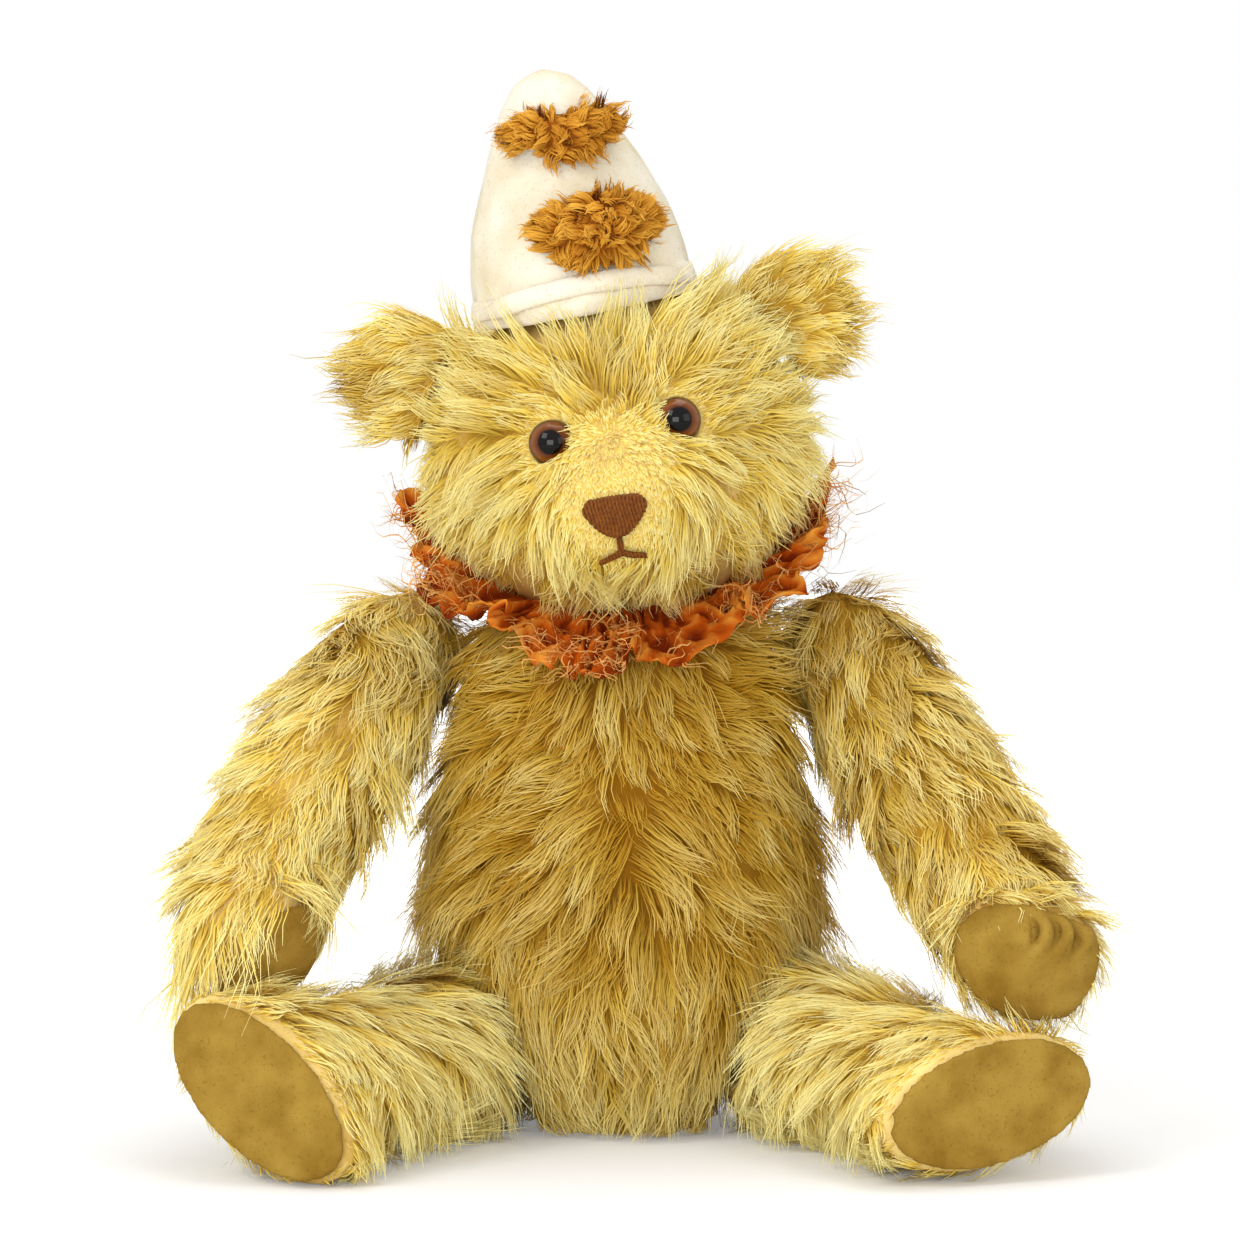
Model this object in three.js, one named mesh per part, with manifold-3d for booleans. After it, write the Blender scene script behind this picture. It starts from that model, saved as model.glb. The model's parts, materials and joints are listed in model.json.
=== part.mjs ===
// A worn mohair teddy bear that sits with its legs out, in a felt clown hat and a frayed ruff.
// Head, arms and legs turn on pairs of board discs, each pair held by a steel cotter pin.
// Millimetres, +Z up. The bear faces -Y and its own left is +X. The origin is on the floor, under its seat.
import * as THREE from "three";
import { mergeVertices } from "three/addons/utils/BufferGeometryUtils.js";
import Module from "manifold-3d";

const wasm = await Module();
wasm.setup();

// Clearances
const FIT_GAP = 0.3; // between pieces that touch
const FACE_GAP = 0.5; // between a limb and the torso, where they turn on each other
const PRESS_GAP = 0.9; // between a thigh and the belly that it presses into

// Torso: a pear with a flat seat
const TORSO_HEIGHT = 164;
const BELLY_WIDTH = 122;
const BELLY_DEPTH = 108;
const BELLY_HEIGHT = 70;
const HIP_WIDTH = 106;
const HIP_LEVEL = 30;
const CHEST_WIDTH = 110;
const CHEST_HEIGHT = 108;
const SHOULDER_WIDTH = 98;
const SHOULDER_HEIGHT = 146;
const NECK_WIDTH = 62;
const SEAT_WIDTH = 66;

// Joints: where each face lies on the torso and how its axis leans, in degrees
const SHOULDER_JOINT_HEIGHT = 137;
const SHOULDER_BACK = 10;
const SHOULDER_UP = 22;
const SHOULDER_SINK = 2;
const HIP_BACK = 20;
const HIP_DOWN = 12;
const HIP_FORWARD = 14;
const HIP_OUT = 31;
const NECK_FORWARD = 4;
const NECK_LEAN = 18;
const NECK_SIDE_LEAN = 2;

// Joint hardware
const CLOTH = 2; // lining between a disc and the joint's face
const DISC_THICKNESS = 2.6;
const NECK_DISC = 40;
const SHOULDER_DISC = 23;
const HIP_DISC = 30;
const WASHER_DIAMETER = 12;
const WASHER_THICKNESS = 0.8;
const PIN_DIAMETER = 3;
const PIN_HOLE = 4.4;
const PIN_EYE = 5.4;
const PIN_CURL = 4.6;
const PIN_WIRE = 1.5;

// Head
const HEAD_WIDTH = 118;
const HEAD_HEIGHT = 108;
const HEAD_DEPTH = 104;
const HEAD_NOD = 4;
const HEAD_ROLL = 7;
const HEAD_TURN = -2;
const NECK_SINK = 9; // depth of the flat at the head's base
const MUZZLE_LENGTH = 30;
const MUZZLE_SPREAD = 24; // half angle that the muzzle takes of the head, in degrees
const MUZZLE_DROP = 9; // how far it points down, in degrees
const MUZZLE_TURN = 3; // how far it points to the bear's right, in degrees
const EYE_DIAMETER = 14;
const EYE_STANDS_OUT = 4.6;
const EYE_AZIMUTH = 19.3;
const EYE_ELEVATION = 13;
const NOSE_WIDTH = 20;
const NOSE_HEIGHT = 11.4;
const NOSE_THICKNESS = 2.4;
const NOSE_RAISE = 1;
const MOUTH_WIDTH = 14;
const MOUTH_DROP = 9;
const STITCH_WIDTH = 1.8;
const STITCH_THICKNESS = 1.2;

// Ears
const EAR_WIDTH = 41;
const EAR_HEIGHT = 44;
const EAR_THICKNESS = 13;
const EAR_CUP = 5;
const EAR_ELEVATION = 31;
const EAR_STANDS_OUT = 8;

// Hat
const HAT_WIDTH = 67;
const HAT_HEIGHT = 73.5;
const HAT_WALL = 2.2;
const HAT_CUFF = 9;
const HAT_CUFF_STEP = 2.4;
const HAT_CUFF_REACH = 8; // the turned-up part ends this far ahead of the hat's middle
const HAT_SET_DOWN = 10; // how far the rim lies below the crown
const HAT_SHIFT = 2.5;
const HAT_LEAN = 2;
const POMPOM_HEIGHTS = { lower: 24, upper: 53 };
const POMPOM_WIDTHS = { lower: 40, upper: 40 };
const POMPOM_TALL = { lower: 27, upper: 23 };
const POMPOM_DEEP = { lower: 20, upper: 17 };
const POMPOM_TURNS = { lower: 14, upper: 8 }; // degrees round the hat from its front

// Ruff
const RUFF_INNER = 62;
const RUFF_OUTER = 132;
const RUFF_CLOTH = 2.8;
const RUFF_PLEATS = 11;
const RUFF_PLEAT_DEPTH = 5;
const RUFF_RISE_FRONT = 4;
const RUFF_RISE_SIDE = 20;
const RUFF_BASE = 4; // height of its inner edge above the neck's face

// Arms, measured from the shoulder's centre along the arm
const ARM_WIDTH = 50;
const ARM_REACH = 150;
const ARM_SINK = 5; // how much of the arm's roundness its flat face takes
const WRIST_WIDTH = 43;
const PAW_WIDTH = 37;
const ARM_LOWERED = { left: 55, right: 52 }; // from straight ahead, in degrees
const PAW_PAD_LENGTH = 46;
const PAW_PAD_WIDTH = 33;

// Legs, measured from the hip's centre along the leg
const LEG_WIDTH = 51;
const THIGH_WIDTH = 55;
const ANKLE_WIDTH = 47;
const LEG_REACH = 128;
const LEG_SINK = 5; // how much of the leg's roundness its flat face takes
const FOOT_LENGTH = 76;
const FOOT_WIDTH = 42;
const TOE_SHIFT = 8;
const FOOT_DROP = 3; // how far the foot's middle lies below the hip's
const FOOT_TURNS = { left: 66, right: 38 }; // how far each toe is turned out, in degrees
const FOOT_PAD_INSET = 1.5;
const PAD_THICKNESS = 1.8;
// the torso is hollowed for the legs at these swings as they come down, in degrees
const LEG_SWINGS = [0, 45, 57, 64, 71, 78, 85];

const LARGE = 600; // side of the blocks that trim whole sides away

const FUR = new THREE.MeshStandardMaterial({ color: 0xcbb068, roughness: 0.95, metalness: 0 });
const EAR_FUR = new THREE.MeshStandardMaterial({ color: 0xb79d58, roughness: 0.95, metalness: 0 });
const FELT = new THREE.MeshStandardMaterial({ color: 0xc39a48, roughness: 1, metalness: 0 });
const HAT_FELT = new THREE.MeshStandardMaterial({ color: 0xf3e9d2, roughness: 1, metalness: 0 });
const WOOL = new THREE.MeshStandardMaterial({ color: 0xb8741c, roughness: 1, metalness: 0 });
const RUFF_COTTON = new THREE.MeshStandardMaterial({ color: 0xd0702a, roughness: 0.9, metalness: 0 });
const THREAD = new THREE.MeshStandardMaterial({ color: 0x7d431d, roughness: 0.8, metalness: 0 });
const GLASS = new THREE.MeshStandardMaterial({ color: 0x5a2410, roughness: 0.05, metalness: 0 });
const BOARD = new THREE.MeshStandardMaterial({ color: 0x8a6a48, roughness: 0.9, metalness: 0 });
const STEEL = new THREE.MeshStandardMaterial({ color: 0x8c8c8c, roughness: 0.4, metalness: 1 });

const { degToRad, lerp, smoothstep } = THREE.MathUtils;

// Solids

// A closed three.js geometry as a solid.
function solidOf(geometry) {
  const bare = geometry.clone();
  bare.deleteAttribute("normal");
  bare.deleteAttribute("uv");
  const merged = mergeVertices(bare, 1e-4);
  const corners = merged.index.array;
  const triVerts = [];
  for (let i = 0; i < corners.length; i += 3) {
    const [a, b, c] = corners.subarray(i, i + 3);
    if (a !== b && b !== c && c !== a) triVerts.push(a, b, c);
  }
  const vertProperties = merged.attributes.position.array;
  const mesh = new wasm.Mesh({ numProp: 3, vertProperties, triVerts: new Uint32Array(triVerts) });
  return new wasm.Manifold(mesh);
}

// A solid as a named mesh.
function meshOf(name, solid, material) {
  const { vertProperties, triVerts } = solid.getMesh();
  const geometry = new THREE.BufferGeometry();
  geometry.setAttribute("position", new THREE.BufferAttribute(vertProperties, 3));
  geometry.setIndex(new THREE.BufferAttribute(triVerts, 1));
  geometry.computeVertexNormals();
  const mesh = new THREE.Mesh(geometry, material);
  mesh.name = name;
  return mesh;
}

function moved(solid, matrix) {
  return solid.transform(matrix.elements);
}

// A profile of [radius, height] pairs that starts and ends on the axis, turned about Z.
function turned(profile, sides) {
  const points = profile.map(([radius, height]) => new THREE.Vector2(radius, height));
  return solidOf(new THREE.LatheGeometry(points, sides).rotateX(Math.PI / 2));
}

function rod(diameter, low, high, sides) {
  const radius = diameter / 2;
  return turned([[0, low], [radius, low], [radius, high], [0, high]], sides);
}

function ring(inner, outer, low, high, sides) {
  return rod(outer, low, high, sides).subtract(rod(inner, low - 1, high + 1, sides));
}

// Everything below a height, as a block.
function below(height) {
  return solidOf(new THREE.BoxGeometry(LARGE, LARGE, LARGE).translate(0, 0, height - LARGE / 2));
}

// A value that runs smoothly through [place, value] pairs.
function keyed(...keys) {
  return (t) => {
    const next = Math.min(keys.length - 1, Math.max(1, keys.findIndex(([place]) => place >= t)));
    const [[from, first], [to, last]] = [keys[next - 1], keys[next]];
    return lerp(first, last, smoothstep(t, from, to));
  };
}

const FULLNESS = 2.3; // 2 rounds an end as a ball, and more makes it blunter

// How far a rounded end has opened at t, when each end takes the given share of the length.
function roundedEnds(startShare, endShare) {
  const opened = (share) => Math.max(0, 1 - (1 - Math.min(1, share)) ** FULLNESS) ** (1 / FULLNESS);
  return (t) => opened(t / startShare) * opened((1 - t) / endShare);
}

// A stuffed tube along a spine. across and through give its half widths, and side the way across.
function stuffedTube({ spine, across, through, side, sides, steps }, grow = 0) {
  const tube = new THREE.CylinderGeometry(1, 1, 1, sides, steps);
  const place = tube.attributes.position;
  for (let i = 0; i < place.count; i++) {
    const share = 0.5 - place.getY(i);
    const t = (1 - Math.cos(Math.PI * share)) / 2;
    const tangent = spine.getTangent(t);
    const u = side(t).clone().projectOnPlane(tangent).normalize();
    const v = new THREE.Vector3().crossVectors(tangent, u);
    const point = spine.getPoint(t);
    point.addScaledVector(u, place.getX(i) * (across(t) + grow));
    point.addScaledVector(v, place.getZ(i) * (through(t) + grow));
    point.addScaledVector(tangent, grow * (2 * t - 1) ** 5);
    place.setXYZ(i, point.x, point.y, point.z);
  }
  return solidOf(tube);
}

// Joint frames: the origin is the middle of the face where a limb meets the torso,
// and Z points into the limb

const TORSO_PROFILE = new THREE.SplineCurve(
  [
    [SEAT_WIDTH, 0],
    [HIP_WIDTH, HIP_LEVEL],
    [BELLY_WIDTH, BELLY_HEIGHT],
    [CHEST_WIDTH, CHEST_HEIGHT],
    [SHOULDER_WIDTH, SHOULDER_HEIGHT],
    [NECK_WIDTH, TORSO_HEIGHT],
    [NECK_WIDTH * 0.9, TORSO_HEIGHT + NECK_WIDTH * Math.sin(degToRad(NECK_LEAN))],
  ].map(([width, height]) => new THREE.Vector2(width / 2, height)),
);
const DEPTH_SHARE = BELLY_DEPTH / BELLY_WIDTH;
const PROFILE_STEPS = 12;

function torsoHalfWidth(height) {
  const points = TORSO_PROFILE.getPoints(PROFILE_STEPS * 4);
  const above = Math.max(1, points.findIndex((point) => point.y >= height));
  const [low, high] = [points[above - 1], points[above]];
  return lerp(low.x, high.x, (height - low.y) / (high.y - low.y));
}

// A frame from its origin, its Z axis and the way that X should point.
function frameOf(origin, outward, along) {
  const z = outward.clone().normalize();
  const x = along.clone().projectOnPlane(z).normalize();
  const y = new THREE.Vector3().crossVectors(z, x);
  return new THREE.Matrix4().makeBasis(x, y, z).setPosition(origin);
}

// A unit vector: side is +1 to the bear's left, back turns it to the rear and up lifts it, in degrees.
function outwardFrom(side, back, up) {
  const [b, u] = [degToRad(back), degToRad(up)];
  return new THREE.Vector3(side * Math.cos(b) * Math.cos(u), Math.sin(b) * Math.cos(u), Math.sin(u));
}

const SIDES = { left: 1, right: -1 };

function shoulderFrame(name) {
  const side = SIDES[name];
  const outward = outwardFrom(side, SHOULDER_BACK, SHOULDER_UP);
  const half = torsoHalfWidth(SHOULDER_JOINT_HEIGHT);
  const [across, back] = [Math.cos(degToRad(SHOULDER_BACK)), Math.sin(degToRad(SHOULDER_BACK))];
  const origin = new THREE.Vector3(side * half * across, half * DEPTH_SHARE * back, SHOULDER_JOINT_HEIGHT);
  origin.addScaledVector(outward, -SHOULDER_SINK);
  const ahead = new THREE.Vector3(0, -1, 0).projectOnPlane(outward).normalize();
  const along = ahead.applyAxisAngle(outward, side * degToRad(ARM_LOWERED[name]));
  return frameOf(origin, outward, along);
}

function hipFrame(side) {
  const outward = outwardFrom(side, HIP_BACK, -HIP_DOWN);
  const height = LEG_WIDTH / 2 + (LEG_WIDTH / 2 - LEG_SINK) * Math.sin(degToRad(HIP_DOWN));
  const origin = new THREE.Vector3(side * HIP_OUT, -HIP_FORWARD, height);
  const along = new THREE.Vector3(side * outward.y, -Math.abs(outward.x), 0);
  return frameOf(origin, outward, along);
}

function neckFrame() {
  const outward = new THREE.Vector3(0, 0, 1)
    .applyAxisAngle(new THREE.Vector3(1, 0, 0), degToRad(NECK_LEAN))
    .applyAxisAngle(new THREE.Vector3(0, 1, 0), -degToRad(NECK_SIDE_LEAN));
  return frameOf(new THREE.Vector3(0, -NECK_FORWARD, TORSO_HEIGHT), outward, new THREE.Vector3(1, 0, 0));
}

const FRAMES = {
  neck: neckFrame(),
  shoulder_left: shoulderFrame("left"),
  shoulder_right: shoulderFrame("right"),
  hip_left: hipFrame(SIDES.left),
  hip_right: hipFrame(SIDES.right),
};
const FACE_WIDTHS = {
  neck: LARGE,
  shoulder_left: ARM_WIDTH,
  shoulder_right: ARM_WIDTH,
  hip_left: THIGH_WIDTH,
  hip_right: THIGH_WIDTH,
};
const FACE_MARGIN = 2; // how far the flats reach beyond a limb's roundness
const DISCS = {
  neck: NECK_DISC,
  shoulder_left: SHOULDER_DISC,
  shoulder_right: SHOULDER_DISC,
  hip_left: HIP_DISC,
  hip_right: HIP_DISC,
};

// Joint hardware, in a joint's frame. The stack on each side is cloth, disc, washer, then the pin's end

const DISC_SIDES = 14;
const WASHER_SIDES = 8;
const DISC_LOW = FACE_GAP / 2 + CLOTH + FIT_GAP;
const DISC_HIGH = DISC_LOW + DISC_THICKNESS;
const WASHER_LOW = DISC_HIGH + FIT_GAP;
const WASHER_HIGH = WASHER_LOW + WASHER_THICKNESS;
const PIN_END = WASHER_HIGH + FIT_GAP + Math.max(PIN_EYE, PIN_CURL) + PIN_WIRE;
const MIRROR_Z = new THREE.Matrix4().makeScale(1, 1, -1);

function disc(diameter) {
  return ring(PIN_HOLE, diameter, DISC_LOW, DISC_HIGH, DISC_SIDES);
}

function washer() {
  return ring(PIN_HOLE, WASHER_DIAMETER, WASHER_LOW, WASHER_HIGH, WASHER_SIDES);
}

// The room that one side's stack takes, open to the joint's face through the pin's hole.
function pocket(diameter) {
  const room = WASHER_DIAMETER + 4 * FIT_GAP;
  return rod(PIN_HOLE, -1, DISC_LOW + 1, DISC_SIDES)
    .add(rod(diameter + 2 * FIT_GAP, DISC_LOW - FIT_GAP, DISC_HIGH + FIT_GAP, DISC_SIDES))
    .add(rod(room, DISC_HIGH, PIN_END + FIT_GAP, DISC_SIDES));
}

// A wire bent along points in the XZ plane.
function wire(points) {
  const section = new THREE.Shape().absarc(0, 0, PIN_WIRE / 2, 0, 2 * Math.PI);
  const extrudePath = new THREE.CatmullRomCurve3(points.map(([x, z]) => new THREE.Vector3(x, 0, z)));
  const options = { steps: 5, curveSegments: 3, bevelEnabled: false, extrudePath };
  return solidOf(new THREE.ExtrudeGeometry(section, options));
}

// A cotter pin: an eye in the limb, a straight shank, and two legs that curl against the torso's washer.
function cotterPin() {
  const eyeLow = WASHER_HIGH + FIT_GAP;
  const eyeMiddle = eyeLow + PIN_EYE / 2;
  const eyeRadius = (PIN_EYE - PIN_WIRE) / 2;
  const curlLow = -(WASHER_HIGH + FIT_GAP + PIN_WIRE / 2);
  const curlDeep = curlLow - PIN_CURL + PIN_WIRE / 2;
  const shank = rod(PIN_DIAMETER, curlLow - PIN_WIRE, eyeLow + PIN_WIRE / 2, 8);
  const eye = solidOf(new THREE.TorusGeometry(eyeRadius, PIN_WIRE / 2, 5, 8).rotateX(Math.PI / 2))
    .translate(0, 0, eyeMiddle);
  const curls = [1, -1].map((way) =>
    wire([
      [way * 0.4, curlLow],
      [way * 0.9, curlDeep + PIN_CURL * 0.3],
      [way * PIN_CURL * 0.55, curlDeep],
      [way * PIN_CURL * 0.95, curlDeep + PIN_CURL * 0.35],
      [way * PIN_CURL * 0.75, curlLow],
    ]),
  );
  return shank.add(eye).add(curls[0]).add(curls[1]);
}

function hardware(joint, limb) {
  const limbDisc = disc(DISCS[joint]);
  return [
    meshOf(`${joint}_${limb}_disc`, limbDisc, BOARD),
    meshOf(`${joint}_torso_disc`, moved(limbDisc, MIRROR_Z), BOARD),
    meshOf(`${joint}_${limb}_washer`, washer(), STEEL),
    meshOf(`${joint}_torso_washer`, moved(washer(), MIRROR_Z), STEEL),
    meshOf(`${joint}_cotter_pin`, cotterPin(), STEEL),
  ];
}

// A solid in a joint's frame with its flat face, its pocket and the floor cut from it.
function fitted(solid, joint) {
  const floor = moved(below(0), FRAMES[joint].clone().invert());
  const face = rod(FACE_WIDTHS[joint] + 2 * FACE_MARGIN, -LARGE / 4, FACE_GAP / 2, 20);
  return solid.subtract(face).subtract(pocket(DISCS[joint])).subtract(floor);
}

// Arms, in the shoulder's frame: X runs down the arm, Z out of the torso, and side * Y backwards

const ARM_SPINES = {
  left: [[-0.16, 0, 0], [0.3, -0.01, 0.02], [0.65, -0.07, 0.01], [0.87, -0.18, -0.01], [1.01, -0.265, 0.02]],
  right: [[-0.16, 0, 0], [0.3, -0.01, 0.02], [0.6, -0.04, 0.02], [0.78, -0.1, -0.01], [0.92, -0.15, -0.06]],
};
const PAD_FACES = { left: [0.42, -0.8, -0.4], right: [0.1, -0.1, -1] };
const PAD_PLACES = { left: 0.86, right: 0.84 };

function armTube(name) {
  const side = SIDES[name];
  const points = ARM_SPINES[name].map(
    ([along, back, out]) =>
      new THREE.Vector3(
        along * ARM_REACH,
        side * back * ARM_REACH,
        ARM_WIDTH / 2 - ARM_SINK + out * ARM_REACH,
      ),
  );
  const ends = roundedEnds(0.16, 0.14);
  const half = keyed(
    [0, ARM_WIDTH / 2],
    [0.45, ARM_WIDTH / 2],
    [0.75, WRIST_WIDTH / 2],
    [1, PAW_WIDTH / 2],
  );
  const width = (t) => half(t) * ends(t) + 0.4;
  const outward = new THREE.Vector3(0, 0, 1);
  return {
    spine: new THREE.CatmullRomCurve3(points),
    across: width,
    through: width,
    side: () => outward,
    sides: 16,
    steps: 13,
  };
}

// A felt pad that lies on a limb's surface: an oval seen along the way that it faces.
function pad(tube, centre, facing, up, length, width) {
  const oval = new THREE.Shape().absellipse(0, 0, length / 2, width / 2, 0, 2 * Math.PI);
  const prism = new THREE.ExtrudeGeometry(oval, { depth: LARGE, curveSegments: 10, bevelEnabled: false });
  const cutter = moved(solidOf(prism), frameOf(centre, facing, up));
  return stuffedTube(tube, FIT_GAP + PAD_THICKNESS).intersect(cutter).subtract(stuffedTube(tube, FIT_GAP));
}

function arm(name) {
  const joint = `shoulder_${name}`;
  const tube = armTube(name);
  const [along, back, out] = PAD_FACES[name];
  const facing = new THREE.Vector3(along, SIDES[name] * back, out).normalize();
  const centre = tube.spine.getPoint(PAD_PLACES[name]);
  const lengthwise = tube.spine.getTangent(PAD_PLACES[name]);
  const felt = pad(tube, centre, facing, lengthwise, PAW_PAD_LENGTH, PAW_PAD_WIDTH);
  return [
    meshOf(`arm_${name}`, fitted(stuffedTube(tube), joint), FUR),
    meshOf(`paw_pad_${name}`, felt, FELT),
  ];
}

// Legs, in the hip's frame: X runs down the leg, side * Y downwards, and Z out of the torso

function legTube(name) {
  const turn = degToRad(FOOT_TURNS[name]);
  const toe = new THREE.Vector3(0, -SIDES[name] * Math.cos(turn), Math.sin(turn));
  const [start, end] = [-THIGH_WIDTH / 2, LEG_REACH];
  const points = [0, 0.25, 0.5, 0.75, 1].map((t) => {
    const sunk = LEG_SINK * (1 - smoothstep(t, 0.2, 0.6));
    const drop = SIDES[name] * FOOT_DROP * smoothstep(t, 0.3, 1);
    const point = new THREE.Vector3(lerp(start, end, t), drop, LEG_WIDTH / 2 - sunk);
    return point.addScaledVector(toe, TOE_SHIFT * smoothstep(t, 0.45, 1));
  });
  const ends = roundedEnds(0.18, 0.06);
  const lengthwise = keyed(
    [0, THIGH_WIDTH / 2],
    [0.3, THIGH_WIDTH / 2],
    [0.66, ANKLE_WIDTH / 2],
    [0.95, FOOT_LENGTH / 2],
    [1, FOOT_LENGTH / 2],
  );
  const crosswise = keyed(
    [0, THIGH_WIDTH / 2],
    [0.3, THIGH_WIDTH / 2],
    [0.66, ANKLE_WIDTH / 2],
    [1, FOOT_WIDTH / 2],
  );
  const soleEdge = (t) => 0.72 + 0.28 * ends(t);
  const opened = (t) => (t < 0.5 ? ends(t) : soleEdge(t));
  return {
    spine: new THREE.CatmullRomCurve3(points),
    across: (t) => lengthwise(t) * opened(t) + 0.4,
    through: (t) => crosswise(t) * opened(t) + 0.4,
    side: () => toe,
    sides: 18,
    steps: 12,
  };
}

// The paw rests on the foot and presses a little way into it.
function leg(name) {
  const joint = `hip_${name}`;
  const tube = legTube(name);
  const centre = tube.spine.getPoint(0.93);
  const soleShare = 0.9;
  const felt = pad(
    tube,
    centre,
    tube.spine.getTangent(1),
    tube.side(1),
    FOOT_LENGTH * soleShare - 2 * FOOT_PAD_INSET,
    FOOT_WIDTH * soleShare - 2 * FOOT_PAD_INSET,
  );
  const toShoulder = FRAMES[joint].clone().invert().multiply(FRAMES[`shoulder_${name}`]);
  const paw = moved(stuffedTube(armTube(name), PAD_THICKNESS + 2 * FIT_GAP), toShoulder);
  return [
    meshOf(`leg_${name}`, fitted(stuffedTube(tube).subtract(paw), joint), FUR),
    meshOf(`foot_pad_${name}`, felt.subtract(paw), FELT),
  ];
}

// Torso

function torso() {
  const profile = TORSO_PROFILE.getPoints(PROFILE_STEPS).map(({ x, y }) => [x, y]);
  const top = profile[profile.length - 1][1];
  let solid = turned([[0, 0], ...profile, [0, top]], 24).scale([1, DEPTH_SHARE, 1]);
  for (const [joint, frame] of Object.entries(FRAMES)) {
    const face = rod(FACE_WIDTHS[joint] + 2 * FACE_MARGIN, -FACE_GAP / 2, LARGE / 4, 20);
    solid = solid.subtract(moved(face, frame));
    solid = solid.subtract(moved(moved(pocket(DISCS[joint]), MIRROR_Z), frame));
  }
  for (const [name, side] of Object.entries(SIDES)) {
    const face = rod(FACE_WIDTHS[`hip_${name}`] + 2 * FACE_MARGIN, -LARGE / 4, -FACE_GAP / 2, 20);
    const thigh = stuffedTube(legTube(name), PRESS_GAP).subtract(face);
    for (const swing of LEG_SWINGS) {
      const turn = new THREE.Matrix4().makeRotationZ(side * degToRad(swing));
      solid = solid.subtract(moved(moved(thigh, turn), FRAMES[`hip_${name}`]));
    }
  }
  return meshOf("torso", solid, FUR);
}

// Head, in its own frame: the middle of the skull, with -Y ahead and +Z up

const MUZZLE_AIM = headDirection(-MUZZLE_TURN, -MUZZLE_DROP);

// The point of the head's surface in a direction: an egg-shaped skull with a blunt muzzle drawn out of it.
function headPoint(direction, grow = 0) {
  const point = new THREE.Vector3(
    direction.x * (HEAD_WIDTH / 2 + grow),
    direction.y * (HEAD_DEPTH / 2 + grow),
    direction.z * (HEAD_HEIGHT / 2 + grow),
  );
  const share = direction.angleTo(MUZZLE_AIM) / degToRad(MUZZLE_SPREAD);
  return point.addScaledVector(MUZZLE_AIM, MUZZLE_LENGTH / (1 + share ** 5));
}

function headBlock(grow = 0) {
  const ball = new THREE.SphereGeometry(1, 24, 17).rotateX(Math.PI / 2);
  const place = ball.attributes.position;
  for (let i = 0; i < place.count; i++) {
    const ahead = new THREE.Vector3(0, -1, 0);
    const direction = new THREE.Vector3().fromBufferAttribute(place, i);
    const angle = direction.angleTo(ahead);
    const closer = Math.PI * (angle / Math.PI) ** 1.3;
    const axis = new THREE.Vector3().crossVectors(ahead, direction).normalize();
    if (angle > 0.001 && angle < Math.PI - 0.001) direction.copy(ahead).applyAxisAngle(axis, closer);
    const point = headPoint(direction, grow);
    place.setXYZ(i, point.x, point.y, point.z);
  }
  return solidOf(ball);
}

function headDirection(azimuth, elevation) {
  const [a, e] = [degToRad(azimuth), degToRad(elevation)];
  return new THREE.Vector3(Math.sin(a) * Math.cos(e), -Math.cos(a) * Math.cos(e), Math.sin(e));
}

// The head stands in the neck's frame, nodded, rolled and turned from it.
const HEAD_IN_NECK = new THREE.Matrix4()
  .makeTranslation(0, 0, HEAD_HEIGHT / 2 - NECK_SINK)
  .multiply(new THREE.Matrix4().makeRotationX(degToRad(HEAD_NOD - NECK_LEAN)))
  .multiply(new THREE.Matrix4().makeRotationY(-degToRad(HEAD_ROLL)))
  .multiply(new THREE.Matrix4().makeRotationZ(-degToRad(HEAD_TURN)));
const NECK_IN_HEAD = HEAD_IN_NECK.clone().invert();

function eyeFrame(side) {
  const direction = headDirection(side * EYE_AZIMUTH, EYE_ELEVATION);
  const gaze = headDirection(side * EYE_AZIMUTH * 0.6, EYE_ELEVATION);
  return frameOf(headPoint(direction), gaze, new THREE.Vector3(0, 0, 1));
}

function eyeBall(grow = 0) {
  const radius = EYE_DIAMETER / 2;
  const sunk = EYE_STANDS_OUT - radius;
  return solidOf(new THREE.SphereGeometry(radius + grow, 12, 8).rotateX(Math.PI / 2)).translate(0, 0, sunk);
}

function eye(name) {
  const mesh = meshOf(`eye_${name}`, eyeBall(), GLASS);
  mesh.applyMatrix4(eyeFrame(SIDES[name]));
  return mesh;
}

// An upright outline pressed onto the muzzle as a layer of the given thickness.
function pressedOn(outline, thickness) {
  const prism = new THREE.ExtrudeGeometry(outline, {
    depth: LARGE / 4,
    curveSegments: 6,
    bevelEnabled: false,
  });
  const frame = frameOf(new THREE.Vector3(), MUZZLE_AIM, new THREE.Vector3(1, 0, 0));
  return moved(solidOf(prism), frame)
    .intersect(headBlock(FIT_GAP + thickness))
    .subtract(headBlock(FIT_GAP));
}

// In these outlines X runs across the muzzle and Y up it.
function nose() {
  const [half, top, bottom] = [NOSE_WIDTH / 2, NOSE_RAISE + NOSE_HEIGHT / 2, NOSE_RAISE - NOSE_HEIGHT / 2];
  const shield = new THREE.Shape()
    .moveTo(half * 0.7, top)
    .quadraticCurveTo(0, top + NOSE_HEIGHT * 0.1, -half * 0.7, top)
    .quadraticCurveTo(-half * 1.1, top - NOSE_HEIGHT * 0.2, -half * 0.8, top - NOSE_HEIGHT * 0.5)
    .quadraticCurveTo(-half * 0.4, bottom, 0, bottom)
    .quadraticCurveTo(half * 0.4, bottom, half * 0.8, top - NOSE_HEIGHT * 0.5)
    .quadraticCurveTo(half * 1.1, top - NOSE_HEIGHT * 0.2, half * 0.7, top);
  return meshOf("nose", pressedOn(shield, NOSE_THICKNESS), THREAD);
}

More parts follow.
